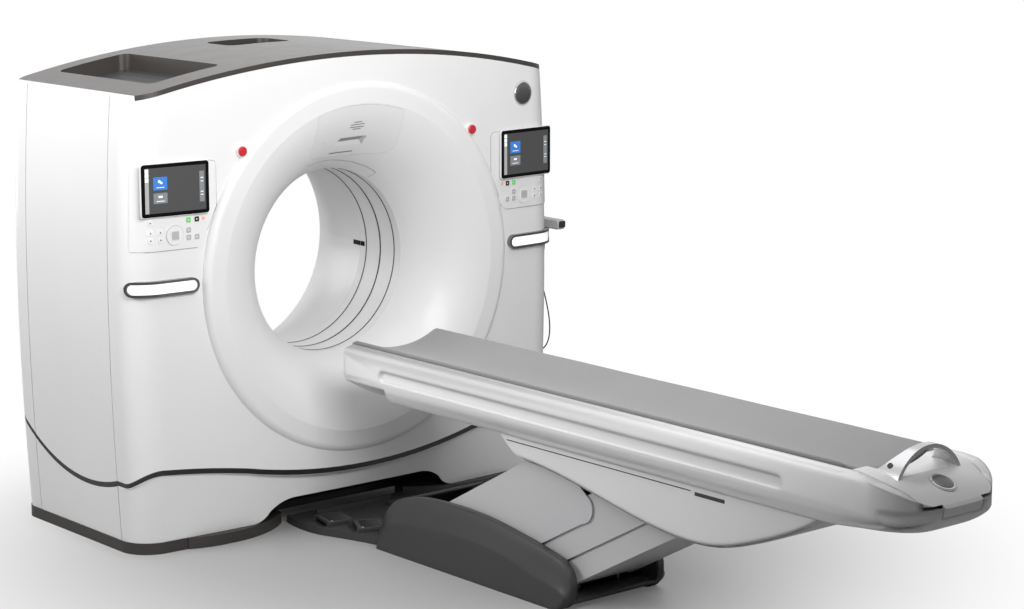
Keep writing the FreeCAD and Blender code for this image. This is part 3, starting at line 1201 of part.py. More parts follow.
def foot_tray():
    half = tray_plan(0.0, TRAY_Z, 0.0).cut(tray_plan(-1.0, TRAY_Z - 24, TRAY_WALL))
    w, d, t = PEDAL_SIZE
    parts = [half]
    cuts = []
    for pedal in PEDALS:
        g = PEDAL_GAP
        frame = plate("Z", 0, TRAY_LIP_Z - TRAY_Z, -w / 2 - 12, w / 2 + 12, -d / 2 - 12, d / 2 + 12, 12)
        parts.append(pedal_frame(frame, pedal))
        cuts.append(pedal_frame(plate("Z", -14, 40, -w / 2 - g, w / 2 + 30, -d / 2 - g, d / 2 + g, 6), pedal))
    half = joined(*parts)
    for cut in cuts:
        half = half.cut(cut)
    for pedal in PEDALS:
        pin = rod("Y", -w / 2 + 7, -3.5, 3.5, -d / 2 + 12, d / 2 - 12)
        post = slab(-w / 2 + 2, -w / 2 + 12, -d / 2 + 11, -d / 2 + 20, -14.5, -1)
        other = slab(-w / 2 + 2, -w / 2 + 12, d / 2 - 20, d / 2 - 11, -14.5, -1)
        half = joined(half, pedal_frame(joined(pin, post, other), pedal))
    tray = joined(half, mirrored(half))
    tray = tray.cut(prism("X", -BASE_X - CLEAR, BASE_X + CLEAR, *cheek_steps(-CLEAR)))
    lip = prism("Y", -320.0, -312.0, (-200.0, TRAY_Z - 4), (200.0, TRAY_Z - 4), (200.0, TRAY_Z + 20), (-200.0, TRAY_Z + 20))
    write("foot_tray", joined(tray, lip))

    top = plate("Z", 0, t, -w / 2, w / 2, -d / 2, d / 2, 5)
    wedge = prism("Y", -d / 2 - 1, d / 2 + 1, (-w / 2 - 1, t + 1), (w / 2 + 1, t + 1), (w / 2 + 1, t - 4), (-w / 2 - 1, t))
    knuckle = rod("Y", -w / 2 + 7, -3.5, 7.0, -d / 2 + 22, d / 2 - 22)
    notches = [slab(-w / 2 - 1, -w / 2 + 14, s * d / 2 - 22, s * d / 2 + 22, -20, t - 6) for s in (1, -1)]
    tread = joined(top.cut(wedge), knuckle).cut(rod("Y", -w / 2 + 7, -3.5, 3.55, -d, d))
    for notch in notches:
        tread = tread.cut(notch)
    for number, pedal in enumerate(PEDALS, 1):
        write_pair("pedal_%d" % number, pedal_frame(tread, pedal))


def main():
    os.makedirs("parts", exist_ok=True)
    gantry_covers()
    front_skirt()
    plinth()
    top_cover()
    bore_liner()
    console()
    display()
    stop_button()
    lit_handle()
    reader()
    reader_cord()
    gantry_frame()
    rotor()
    table_shell()
    cradle()
    end_cap()
    grip()
    table_chassis()
    belly()
    lift_arms()
    table_base()
    base_cover()
    foot_tray()


main()
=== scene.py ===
"""Looks of the CT scanner: finishes, printed panels, the pad, the reader's cord, light and camera.

Everything is in metres in the model's own frame: +Z up, origin on the floor under the isocentre,
+Y along the bore to the back of the gantry, +X to the right seen from the table's foot end.
Places on the consoles and pedals are those of the right-hand side; the left mirrors them.
"""
import math

import bmesh
import bpy
from mathutils import Matrix, Vector

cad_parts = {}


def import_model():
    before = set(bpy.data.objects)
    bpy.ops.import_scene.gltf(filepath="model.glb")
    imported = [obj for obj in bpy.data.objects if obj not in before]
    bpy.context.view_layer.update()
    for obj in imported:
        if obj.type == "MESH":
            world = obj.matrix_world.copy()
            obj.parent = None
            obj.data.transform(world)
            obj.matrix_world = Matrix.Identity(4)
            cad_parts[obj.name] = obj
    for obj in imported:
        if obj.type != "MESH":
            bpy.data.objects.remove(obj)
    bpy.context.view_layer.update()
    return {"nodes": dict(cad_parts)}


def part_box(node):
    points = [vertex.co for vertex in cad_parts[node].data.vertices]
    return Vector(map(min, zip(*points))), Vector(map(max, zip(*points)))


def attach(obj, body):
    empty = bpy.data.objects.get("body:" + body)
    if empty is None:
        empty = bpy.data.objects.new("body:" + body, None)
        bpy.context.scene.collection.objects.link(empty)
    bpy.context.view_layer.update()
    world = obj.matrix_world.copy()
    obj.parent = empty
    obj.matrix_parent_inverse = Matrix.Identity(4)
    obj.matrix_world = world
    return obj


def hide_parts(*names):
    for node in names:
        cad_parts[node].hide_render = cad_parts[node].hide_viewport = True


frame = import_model()

ROOT = "gantry_and_base"
SIDES = ((1, "right"), (-1, "left"))

# rays that carry a place onto a CAD surface
ALONG_BORE = Vector((0, 1, 0))
DOWN = Vector((0, 0, -1))
BEFORE_Y = -0.9           # where rays along the bore start, in front of the gantry
ABOVE_Z = 1.2             # where rays down start, above the table and the pedals
FILM = 0.0006             # how far a printed line stands off its surface

# camera, solved from the photograph
CAMERA_AT = (-6.3836, -8.8997, 2.9102)
CAMERA_LOOK = (0.63621, 0.74951, -0.18297)
CAMERA_LENS = 89.09
CAMERA_SENSOR = 36.0

# light: name, place, the place it looks at, size, power
LAMPS = (("overhead", (0.2, -1.4, 5.6), (0.2, -1.4, 0.5), (5.0, 6.0), 122.0),
         ("front", (-1.6, -4.3, 3.5), (-0.3, -0.2, 5.2), (3.0, 3.0), 270.0),
         ("left", (-5.0, 0.7, 3.6), (-1.1, 0.1, 5.4), (2.4, 2.4), 265.0),
         ("back", (-1.6, 5.6, 1.9), (0.1, 0.5, 1.2), (2.5, 2.5), 80.0))
WORLD_LIGHT = 0.11
FLOOR_GREY = 0.40
FLOOR_ROUGH = 0.55
FLOOR_MIDDLE_Y = -0.9
# the grey floor round the object is partly a painted pool of shade, fading out by distance
FLOOR_FADE = (0.7, 2.7)   # how far out the floor begins to fade to white, and where it is white

# finishes: scales are in waves to the metre
COAT_ROUGH = 0.12
PATCH_SCALE = 2.5
SMUDGE_SCALE = 9.0
ROUGH_SPREAD = 0.05       # how far smudges change the roughness, up and down
GRAIN_DEPTH = 0.0005
GLOW_SMUDGE_SCALE = 14.0
GLOW_ROUGH_SPREAD = 0.04
SHEET_PITCH = 0.007
SHEET_HOLE = (0.30, 0.38)   # edge of a hole in the perforated sheet, as a share of the pitch
# how dark the holes are painted, as a share of the sheet's colour: painted shade
SHEET_HOLE_SHADE = 0.25
SHEET_DEPTH = 0.002

# displays: from the middle of the glass, u to the right and v up
DISPLAY_Y = -0.3895       # the middle of the display's face
DISPLAY_TURN = math.radians(4.3)
DISPLAY_SIZE = (0.311, 0.218)
BEZEL = 0.018
GLASS_THICK = 0.0012
FIELD_THICK = 0.0006
TILE_THICK = 0.0003
MARK_THICK = 0.0002
COLUMN_HALF = 0.0085
COLUMN_MARK_V = (0.011, 0.029, 0.047)   # down from the top of the field
TILE_U = -0.068
TILE_V = (0.028, -0.031)
LIST_U = 0.120
LIST_V = (0.038, 0.024, -0.018, -0.030)

# console keys
KEY_X = (0.788, 0.819, 0.8575, 0.986, 1.028)
KEY_Z = (1.382, 1.341, 1.311)
KEY_HALF = 0.0105
SMALL_KEY_HALF = 0.006
KEY_THICK = 0.0012
NAV_KEY_HALF = 0.017
NAV_MARK_R = 0.031
NAV_MARK_SIZE = 0.0045
NAV_MARK_TURNS = (0, 2.1, 4.2)   # corners of a mark, in radians

# edge of the console panel, seen from the front in (x, z)
PANEL_EDGE = ((1.03, 1.6145), (0.743, 1.6145), (0.728, 1.609), (0.7225, 1.594), (0.7225, 1.431),
              (0.7675, 1.3335), (0.7840, 1.2860), (0.818, 1.2645), (1.05, 1.2645))
PANEL_SEAM = 0.0022

# badges: name, node, body, place off the surface, direction of the ray, radius
BADGES = (("gantry_badge", "front_cover", ROOT, (0.916, BEFORE_Y, 1.775), ALONG_BORE, 0.050),
          ("table_badge", "cradle_end_cap", "cradle", (0.0, -3.593, ABOVE_Z), DOWN, 0.044))
BADGE_SIDES = 48
# the dish round a badge is drawn as a grey disc of painted shade
BADGE_DISH = 1.14         # radius of the dish round a badge, as a share of the badge's
BADGE_DOME = ((0.88, 0.0042), (0.86, 0.0050), (0.6, 0.0068), (0.3, 0.0078))   # share, height

# the panel over the bore, seen from the front in (x, z): lines, then bands between two lines
SPEAKER_LINES = ((-0.026, 1.714, 0.016, 1.716), (-0.040, 1.703, 0.032, 1.706),
                 (-0.042, 1.693, 0.032, 1.694), (-0.024, 1.684, 0.017, 1.685))
SPEAKER_WIDTH = 0.0042
WINDOW = (((-0.074, 1.648), (0.049, 1.651)), ((-0.085, 1.634), (0.028, 1.637)))
WINDOW_END = (((0.049, 1.651), (0.064, 1.649)), ((0.028, 1.637), (0.055, 1.612)))
WINDOW_LIP = (((-0.085, 1.633), (0.028, 1.636)), ((-0.089, 1.613), (0.055, 1.612)))
SLIT = (((-0.096, 1.5825), (0.030, 1.5845)), ((-0.098, 1.5765), (0.028, 1.5785)))
SLIT_LIP = (((-0.098, 1.5765), (0.028, 1.5785)), ((-0.098, 1.5725), (0.026, 1.5745)))
PANEL_DOT = (((-0.164, 1.636), (-0.160, 1.636)), ((-0.164, 1.631), (-0.160, 1.631)))
LIP_FILM = 0.0004

# edge of the trim piece that lines the throat under that panel
THROAT_SEAM = ((-0.205, 1.533), (-0.150, 1.543), (-0.100, 1.547), (-0.050, 1.545), (0.001, 1.539),
               (0.077, 1.525), (0.155, 1.499), (0.200, 1.476), (0.214, 1.466), (0.216, 1.458),
               (0.212, 1.440))
THROAT_SEAM_WIDTH = 0.0028

# painted shade of a slot in the right wall of the bore: its reach on each node along the bore
SLOT_SHADE_Y = (("scan_window", 0.116, 0.1459), ("rear_cover", 0.1470, 0.206))
SLOT_SHADE_Z = 1.0915
SLOT_SHADE_WIDTH = 0.021

# the nose of the table's shell
SHELL_LOW, SHELL_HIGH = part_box("table_shell")
NOSE_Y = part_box("cradle_end_cap")[0].y    # the cap reaches as far as the nose
NOSE_R = 0.215            # round of the nose in plan
BOW_TOP_Z = 0.698         # nothing above here moves
BOW_RISE = 0.054          # how high the lower edge of the nose rises
BOW_REACH = 0.150         # how far in from the edge the rise begins
BOW_Y = (-3.28, -3.56)    # where the rise begins along the table, and where it is full
BOW_GRID = 0.014          # longest edge of a face there
BOW_DIVISIONS = 8         # most times that long edges are halved
BOW_SHARP = math.radians(28)

# painted shade on the belly, in its upper crease and in a short slot: reach along the table, height,
# width
BESIDE_BELLY_X = 0.435    # where rays towards the belly start
BELLY_CREASE_SHADE = ((-1.625, -2.640), 0.607, 0.004)
BELLY_SLOT_SHADE = ((-2.660, -2.810), 0.600, 0.014)

# the pad in the hollow of the cradle
CRADLE_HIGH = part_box("cradle")[1]
CRADLE_DIP = 0.058        # depth of the hollow
PAD_LOW, PAD_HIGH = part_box("cradle_pad")
PAD_THICK = 0.019
PAD_RIM_SHARE = 0.45      # height of the pad's rim, as a share of its thickness
PAD_EDGE = 0.004          # how far in the long edges are round
PAD_END = 0.012           # the same at the ends
PAD_COLUMNS = 40
PAD_ROWS = 120
PAD_RIPPLE = 0.0004
CLIP_Y = PAD_LOW.y - 0.021
CLIP_X = 0.205
CLIP_WIDTH = 0.034
CLIP_FILM = 0.0012
CLIP_STUD_X = 0.15
CLIP_STUD_R = 0.004

# foot pedals
PEDAL_TURNS = (13.0, 28.0)   # of the right-hand ones, in degrees
TREAD_PITCH = 0.016
TREAD_HALF = (0.040, 0.003)
PEDAL_MARK_AT = (0.036, -0.055)

# the hand reader and its cord
READER_TIP_DROP = 0.019   # middle of the reader's window under the top of its head
CORD_DIAMETER = 0.006
CORD_ROUTE = ((1.176, -0.193, 0.9945), (1.176, -0.194, 0.935), (1.180, -0.204, 0.860),
              (1.188, -0.226, 0.780), (1.190, -0.246, 0.700), (1.186, -0.252, 0.630),
              (1.180, -0.236, 0.578), (1.174, -0.200, 0.548), (1.168, -0.158, 0.548),
              (1.162, -0.124, 0.572), (1.157, -0.104, 0.612), (1.152, -0.096, 0.660),
              (1.148, -0.095, 0.705))


# ------------------------------------------------------------------ materials
def new_material(name):
    material = bpy.data.materials.new(name)
    material.use_nodes = True
    return material, material.node_tree.nodes, material.node_tree.links


def noise(nodes, links, scale, detail=3.0):
    place = nodes.new("ShaderNodeTexCoord")
    texture = nodes.new("ShaderNodeTexNoise")
    texture.inputs["Scale"].default_value = scale
    texture.inputs["Detail"].default_value = detail
    links.new(place.outputs["Object"], texture.inputs["Vector"])
    return texture.outputs["Fac"]


def spread(nodes, links, source, low, high):
    """Map a 0 to 1 value onto LOW to HIGH."""
    ramp = nodes.new("ShaderNodeMapRange")
    ramp.inputs["To Min"].default_value = low
    ramp.inputs["To Max"].default_value = high
    links.new(source, ramp.inputs["Value"])
    return ramp.outputs["Result"]


def color_between(nodes, links, factor, low, high):
    """Colour LOW where FACTOR is 0, HIGH where it is 1."""
    blend = nodes.new("ShaderNodeMix")
    blend.data_type = "RGBA"
    blend.inputs["A"].default_value = (*low, 1)
    blend.inputs["B"].default_value = (*high, 1)
    links.new(factor, blend.inputs["Factor"])
    return blend.outputs["Result"]


def raised(nodes, links, height, strength, distance):
    """A bump node that makes HEIGHT stand out of the surface."""
    bump = nodes.new("ShaderNodeBump")
    bump.inputs["Strength"].default_value = strength
    bump.inputs["Distance"].default_value = distance
    links.new(height, bump.inputs["Height"])
    return bump


def finish_material(name, color, rough=0.4, metal=0.0, coat=0.0, grain=0.05, grain_scale=900.0,
                    patchy=0.03, sheen=0.0, specular=0.5, soft=0.0):
    """Moulded plastic, paint or metal: faint patches, a fine grain and uneven roughness.

    SOFT is how far light bends round the moulding's corners.
    """
    material, nodes, links = new_material(name)
    shader = nodes["Principled BSDF"]
    shader.inputs["Metallic"].default_value = metal
    shader.inputs["Coat Weight"].default_value = coat
    shader.inputs["Coat Roughness"].default_value = COAT_ROUGH
    shader.inputs["Sheen Weight"].default_value = sheen
    shader.inputs["Specular IOR Level"].default_value = specular
    if patchy:
        patches = noise(nodes, links, PATCH_SCALE)
        dull = [c * (1 - patchy) for c in color]
        clear = [min(1.0, c * (1 + patchy)) for c in color]
        links.new(color_between(nodes, links, patches, dull, clear), shader.inputs["Base Color"])
    else:
        shader.inputs["Base Color"].default_value = (*color, 1)
    smudges = noise(nodes, links, SMUDGE_SCALE, 5.0)
    links.new(spread(nodes, links, smudges, rough - ROUGH_SPREAD, rough + ROUGH_SPREAD),
              shader.inputs["Roughness"])
    fine = noise(nodes, links, grain_scale, 2.0)
    bump = raised(nodes, links, fine, grain, GRAIN_DEPTH)
    if soft:
        corner = nodes.new("ShaderNodeBevel")
        corner.samples = 4
        corner.inputs["Radius"].default_value = soft
        links.new(corner.outputs["Normal"], bump.inputs["Normal"])
    links.new(bump.outputs["Normal"], shader.inputs["Normal"])
    return material


def sheet_material(name, color, pitch, rough=0.5, relief=0.6):
    """Perforated sheet: a square grid of holes in a dark sheet, the holes darkened as painted shade."""
    material, nodes, links = new_material(name)
    shader = nodes["Principled BSDF"]
    shader.inputs["Roughness"].default_value = rough
    place = nodes.new("ShaderNodeTexCoord")
    holes = nodes.new("ShaderNodeTexVoronoi")
    holes.inputs["Scale"].default_value = 1.0 / pitch
    holes.inputs["Randomness"].default_value = 0.0
    links.new(place.outputs["Object"], holes.inputs["Vector"])
    edge = nodes.new("ShaderNodeMapRange")
    edge.inputs["From Min"].default_value = SHEET_HOLE[0]
    edge.inputs["From Max"].default_value = SHEET_HOLE[1]
    links.new(holes.outputs["Distance"], edge.inputs["Value"])
    solid = edge.outputs["Result"]
    # painted shade in the holes
    shade = [c * SHEET_HOLE_SHADE for c in color]
    links.new(color_between(nodes, links, solid, shade, color), shader.inputs["Base Color"])
    bump = raised(nodes, links, solid, relief, SHEET_DEPTH)
    links.new(bump.outputs["Normal"], shader.inputs["Normal"])
    return material


def glowing(name, color, strength, rough=0.25):
    """A lit surface with faintly uneven roughness."""
    material, nodes, links = new_material(name)
    shader = nodes["Principled BSDF"]
    shader.inputs["Base Color"].default_value = (*color, 1)
    shader.inputs["Emission Color"].default_value = (*color, 1)
    shader.inputs["Emission Strength"].default_value = strength
    smudges = noise(nodes, links, GLOW_SMUDGE_SCALE)
    links.new(spread(nodes, links, smudges, rough - GLOW_ROUGH_SPREAD, rough + GLOW_ROUGH_SPREAD),
              shader.inputs["Roughness"])
    return material


# white and grey mouldings
white = finish_material("cover_white", (0.80, 0.80, 0.80), rough=0.42, coat=0.1, grain=0.03)
module_white = finish_material("module_white", (0.78, 0.78, 0.78), rough=0.34, coat=0.2, grain=0.02)
liner_white = finish_material("liner_white", (0.80, 0.80, 0.80), rough=0.4, coat=0.1, grain=0.0,
                              patchy=0.0)
shell_white = finish_material("shell_white", (0.80, 0.80, 0.80), rough=0.36, coat=0.15, grain=0.03,
                              soft=0.022)
belly_white = finish_material("belly_white", (0.72, 0.72, 0.72), rough=0.38, grain=0.04, soft=0.012)
console_white = finish_material("console_white", (0.80, 0.80, 0.80), rough=0.34, coat=0.2, grain=0.02)
key_white = finish_material("key_white", (0.82, 0.82, 0.82), rough=0.35, coat=0.2)
key_grey = finish_material("key_grey", (0.47, 0.46, 0.46), rough=0.4)
arm_grey = finish_material("arm_grey", (0.52, 0.52, 0.53), rough=0.42, grain=0.06)
reader_grey = finish_material("reader_grey", (0.44, 0.44, 0.44), rough=0.4, grain=0.1)
dish_shade_grey = finish_material("dish_shade_grey", (0.60, 0.60, 0.60), rough=0.4)
seam_grey = finish_material("seam_grey", (0.33, 0.33, 0.33), rough=0.5)
# dark grey of painted shade in the slots and the window over the bore
slot_shade_grey = finish_material("slot_shade_grey", (0.25, 0.25, 0.25), rough=0.5)
button_red = finish_material("button_red", (0.55, 0.02, 0.03), rough=0.3, coat=0.3, grain=0.02)

# dark mouldings, rubber, glass and vinyl
warm_charcoal = finish_material("warm_charcoal", (0.040, 0.035, 0.032), rough=0.36, coat=0.25,
                                grain=0.1)
plinth_charcoal = finish_material("plinth_charcoal", (0.030, 0.026, 0.024), rough=0.5, grain=0.2)
base_charcoal = finish_material("base_charcoal", (0.034, 0.034, 0.035), rough=0.36, grain=0.1,
                                grain_scale=600.0, soft=0.020)
cradle_dark = finish_material("cradle_dark", (0.085, 0.085, 0.088), rough=0.42, grain=0.1)
accent_dark = finish_material("accent_dark", (0.018, 0.018, 0.019), rough=0.3)
# dark print on keys, and painted shade on the belly
print_and_shade_dark = finish_material("print_and_shade_dark", (0.03, 0.03, 0.03), rough=0.5)
# black of the display glass, and of the painted shade in the bore's slot
glass_and_shade_black = finish_material("glass_and_shade_black", (0.003, 0.003, 0.003), rough=0.35, grain=0.0,
                              specular=0.08)
rubber_black = finish_material("rubber_black", (0.012, 0.012, 0.012), rough=0.6, grain=0.3)
tray_dark = finish_material("tray_dark", (0.030, 0.030, 0.031), rough=0.5, grain=0.5,
                            grain_scale=300.0)
pedal_dark = finish_material("pedal_dark", (0.055, 0.055, 0.057), rough=0.48, grain=0.4,
                             grain_scale=350.0)
pad_vinyl = finish_material("pad_vinyl", (0.235, 0.235, 0.235), rough=0.55, grain=0.35,
                            grain_scale=1400.0, patchy=0.05, sheen=0.2)

# metal and painted steel
chrome_dark = finish_material("chrome_dark", (0.22, 0.22, 0.23), rough=0.22, metal=1.0, grain=0.02)
badge_chrome = finish_material("badge_chrome", (0.45, 0.45, 0.45), rough=0.2, metal=1.0, grain=0.02)
badge_dark = finish_material("badge_dark", (0.10, 0.10, 0.10), rough=0.34, metal=0.6, grain=0.1)
handle_grey = finish_material("handle_grey", (0.55, 0.55, 0.56), rough=0.25, metal=0.55, coat=0.3,
                              grain=0.02)
satin_steel = finish_material("satin_steel", (0.42, 0.42, 0.43), rough=0.3, metal=1.0, grain=0.05,
                              grain_scale=400.0)
cast_grey = finish_material("cast_grey", (0.35, 0.36, 0.37), rough=0.45, metal=0.6, grain=0.2)
steel_paint = finish_material("steel_paint", (0.07, 0.075, 0.08), rough=0.5, grain=0.15)
vent_mesh = sheet_material("vent_mesh", (0.030, 0.032, 0.034), SHEET_PITCH)

# lit surfaces
bar_glow = glowing("bar_glow", (0.95, 0.96, 1.0), 0.55)
screen_grey = glowing("screen_grey", (0.028, 0.028, 0.028), 1.0, rough=0.5)
screen_blue = glowing("screen_blue", (0.035, 0.15, 0.46), 0.6)
screen_strip = glowing("screen_strip", (0.30, 0.30, 0.30), 0.6)
screen_tile = glowing("screen_tile", (0.16, 0.17, 0.18), 0.6)
screen_light = glowing("screen_light", (0.75, 0.78, 0.80), 0.6)
key_green = glowing("key_green", (0.10, 0.50, 0.12), 0.4)
key_orange = glowing("key_orange", (0.80, 0.18, 0.03), 0.4)

# each finish with the nodes that wear it
NODE_LOOKS = (
    (white, ("front_cover", "front_skirt", "side_cover_left", "side_cover_right", "rear_cover",
             "reader_holder")),
    (module_white, ("flare_module", "cradle_end_cap")),
    (liner_white, ("scan_window",)),
    (shell_white, ("table_shell",)),
    (belly_white, ("table_belly",)),
    (console_white, ("console_panel_left", "console_panel_right", "display_left", "display_right",
                     "nav_pad_left", "nav_pad_right")),
    (arm_grey, ("lift_cover_upper", "lift_cover_mid", "lift_cover_lower")),
    (reader_grey, ("hand_reader",)),
    (button_red, ("stop_button_left", "stop_button_right")),
    (warm_charcoal, ("top_cover",)),
    (plinth_charcoal, ("plinth_left", "plinth_right")),
    (base_charcoal, ("table_base_cover",)),
    (cradle_dark, ("cradle",)),
    (accent_dark, ("accent_trim",)),
    (rubber_black, ("bore_seals", "cord_gland", "release_button")),
    (tray_dark, ("foot_tray",)),
    (pedal_dark, ("pedal_1_left", "pedal_1_right", "pedal_2_left", "pedal_2_right")),
    (chrome_dark, ("handle_bezel_left", "handle_bezel_right")),
    (handle_grey, ("cradle_handle",)),
    (satin_steel, ("bearing_outer_race", "slip_ring", "xray_tube")),
    (cast_grey, ("rotor_drum", "detector_array", "hv_generator", "tube_cooler")),
    (steel_paint, ("gantry_base_frame", "gantry_stand", "collimator", "table_base_frame", "lift_drive",
                   "lift_link_upper", "lift_link_lower", "table_chassis")),
    (vent_mesh, ("vent_screens",)),
    (bar_glow, ("light_bar_left", "light_bar_right")),
)


def dress_nodes():
    for material, names in NODE_LOOKS:
        for name in names:
            mesh = frame["nodes"][name].data
            mesh.materials.clear()
            mesh.materials.append(material)


# ------------------------------------------------------------------ mesh helpers
def add_mesh(name, bm, material, body=ROOT, smooth=False):
    mesh = bpy.data.meshes.new(name)
    bm.normal_update()
    bm.to_mesh(mesh)
    bm.free()
    for face in mesh.polygons:
        face.use_smooth = smooth
    mesh.materials.append(material)
    piece = bpy.data.objects.new(name, mesh)
    bpy.context.scene.collection.objects.link(piece)
    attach(piece, body)
    return piece


def clamp(value):
    return min(1.0, max(0.0, value))


def quarter_round(share):
    """Height of a quarter circle at a share of its way in, both from 0 to 1."""
    return math.sqrt(1 - (1 - clamp(share)) ** 2)


def round_corners(half_u, half_v, radius, steps=6):
    """Outline of a rectangle with round corners, about its centre."""
    points = []
    for corner, (su, sv) in enumerate(((1, 1), (-1, 1), (-1, -1), (1, -1))):
        for k in range(steps + 1):
            a = math.radians(90 * corner + 90 * k / steps)
            points.append((su * (half_u - radius) + radius * math.cos(a),
                           sv * (half_v - radius) + radius * math.sin(a)))
    return points


def circle(radius, steps=16):
    return [(radius * math.cos(2 * math.pi * k / steps), radius * math.sin(2 * math.pi * k / steps))
            for k in range(steps)]


def facing(at, out, up=(0, 0, 1)):
    """Frame at a place on a surface: local x to the right, y up, z out of the surface."""
    z = Vector(out).normalized()
    x = Vector(up).cross(z).normalized()
    y = z.cross(x)
    return Matrix.Translation(Vector(at)) @ Matrix((x, y, z)).transposed().to_4x4()


def raise_by(matrix, height):
    """The same frame, HEIGHT further out of the surface."""
    return matrix @ Matrix.Translation((0, 0, height))


def stack(bm, loops):
    """Walls between loops of vertices, closed at both ends."""
    n = len(loops[0])
    for low, high in zip(loops, loops[1:]):
        for i in range(n):
            bm.faces.new((low[i], low[(i + 1) % n], high[(i + 1) % n], high[i]))
    bm.faces.new(loops[-1])
    bm.faces.new(list(reversed(loops[0])))


def tile(bm, matrix, outline, thick, bevel=0.0, at=(0.0, 0.0)):
    """A flat plate with the given outline: its back on the surface, its face THICK out."""
    rings = [(0.0, 0.0), (0.0, thick - bevel)]
    if bevel:
        rings.append((bevel, thick))
    loops = []
    for inset, height in rings:
        loop = []
        for u, v in outline:
            k = 1 - inset / math.hypot(u, v)
            loop.append(bm.verts.new(matrix @ Vector((at[0] + u * k, at[1] + v * k, height))))
        loops.append(loop)
    stack(bm, loops)


def middle(node):
    low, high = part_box(node)
    return (low + high) / 2


def onto(node, origin, ray):
    """Where a ray first meets a CAD node, and the surface's normal there, turned towards its start."""
    hit, place, normal, _ = frame["nodes"][node].ray_cast(Vector(origin), ray)
    if not hit:
        raise ValueError("no surface of %s under %s" % (node, origin))
    if normal.dot(ray) > 0:
        normal = -normal
    return place, normal


def film_vert(bm, node, origin, ray, lift):
    """A vertex LIFT off the place where a ray meets a CAD node."""
    place, normal = onto(node, origin, ray)
    return bm.verts.new(place + normal * lift)


def strip(bm, node, points, width, ray=ALONG_BORE, lift=FILM, step=0.01):
    """A thin ribbon over a CAD surface: a line of points off it, carried onto it along RAY."""
    line = []
    for a, b in zip(points, points[1:]):
        a, b = Vector(a), Vector(b)
        count = max(1, int((b - a).length / step))
        line += [a.lerp(b, k / count) for k in range(count)]
    line.append(Vector(points[-1]))
    pairs = []
    for i, place in enumerate(line):
        along = (line[min(i + 1, len(line) - 1)] - line[max(i - 1, 0)]).normalized()
        across = along.cross(ray).normalized() * (width / 2)
        pairs.append([film_vert(bm, node, q, ray, lift) for q in (place - across, place + across)])
    for (a, b), (c, d) in zip(pairs, pairs[1:]):
        bm.faces.new((a, b, d, c))


def front_strip(bm, node, points, width):
    """A ribbon on the front, its points given as (x, z)."""
    strip(bm, node, [(x, BEFORE_Y, z) for x, z in points], width)


def front_band(bm, lines, steps=16, lift=FILM):
    """A patch on the panel over the bore, between an upper and a lower line given as (x, z) ends."""
    rows = []
    for (x0, z0), (x1, z1) in lines:
        row = []
        for k in range(steps + 1):
            t = k / steps
            origin = (x0 + (x1 - x0) * t, BEFORE_Y, z0 + (z1 - z0) * t)
            row.append(film_vert(bm, "flare_module", origin, ALONG_BORE, lift))
        rows.append(row)
    upper, lower = rows
    for k in range(steps):
        bm.faces.new((upper[k], upper[k + 1], lower[k + 1], lower[k]))


# ------------------------------------------------------------------ displays
def screen_layers():
    """Layers of a display: piece, finish, height over the panel, bevel, plates.

    A plate is its outline, its thickness and its middle. The artwork is plain: a light column with
    marks on the left, a blue tile over a grey one, and a list on the right.
    """
    half_w = DISPLAY_SIZE[0] / 2
    half_h = DISPLAY_SIZE[1] / 2
    field_w = half_w - BEZEL
    field_h = half_h - BEZEL
    column_u = COLUMN_HALF + 0.001 - field_w
    bar = round_corners(0.018, 0.0012, 0.0008)
    marks = [(round_corners(0.0075, 0.0075, 0.001), MARK_THICK, (column_u, field_h - down))
             for down in COLUMN_MARK_V]
    marks += [(circle(0.006), MARK_THICK, (TILE_U - 0.004, TILE_V[0] + 0.008)),
              (circle(0.005), MARK_THICK, (TILE_U + 0.005, TILE_V[0] + 0.002)),
              (bar, MARK_THICK, (TILE_U, TILE_V[0] - 0.016)),
              (round_corners(0.009, 0.004, 0.002), MARK_THICK, (TILE_U, TILE_V[1] + 0.006)),
              (bar, MARK_THICK, (TILE_U, TILE_V[1] - 0.012))]
    marks += [(round_corners(0.006, 0.0014, 0.0008), MARK_THICK, (LIST_U, v)) for v in LIST_V]
    tiles_at = GLASS_THICK + FIELD_THICK
    return (("glass", glass_and_shade_black, 0.0, 0.0004,
             [(round_corners(half_w - 0.003, half_h - 0.003, 0.012), GLASS_THICK, (0, 0))]),
            ("field", screen_grey, GLASS_THICK, 0.0,
             [(round_corners(field_w, field_h, 0.002), FIELD_THICK, (0, 0))]),
            ("column", screen_strip, tiles_at, 0.0,
             [(round_corners(COLUMN_HALF, field_h - 0.001, 0.001), TILE_THICK, (column_u, 0))]),
            ("blue_tile", screen_blue, tiles_at, 0.0,
             [(round_corners(0.031, 0.026, 0.001), TILE_THICK, (TILE_U, TILE_V[0]))]),
            ("grey_tile", screen_tile, tiles_at, 0.0,
             [(round_corners(0.031, 0.021, 0.001), TILE_THICK, (TILE_U, TILE_V[1])),
              (round_corners(0.011, 0.062, 0.001), TILE_THICK / 3, (LIST_U, 0.003))]),
            ("marks", screen_light, tiles_at + TILE_THICK, 0.0, marks))


def screens():
    for side, word in SIDES:
        turn = DISPLAY_TURN * side
        x, _, z = middle("display_" + word)
        matrix = facing((x, DISPLAY_Y, z), (math.sin(turn), -math.cos(turn), 0))
        for piece, material, height, bevel, plates in screen_layers():
            bm = bmesh.new()
            for outline, thick, at in plates:
                tile(bm, raise_by(matrix, height), outline, thick, bevel, at)
            add_mesh("screen_%s_%s" % (piece, word), bm, material)


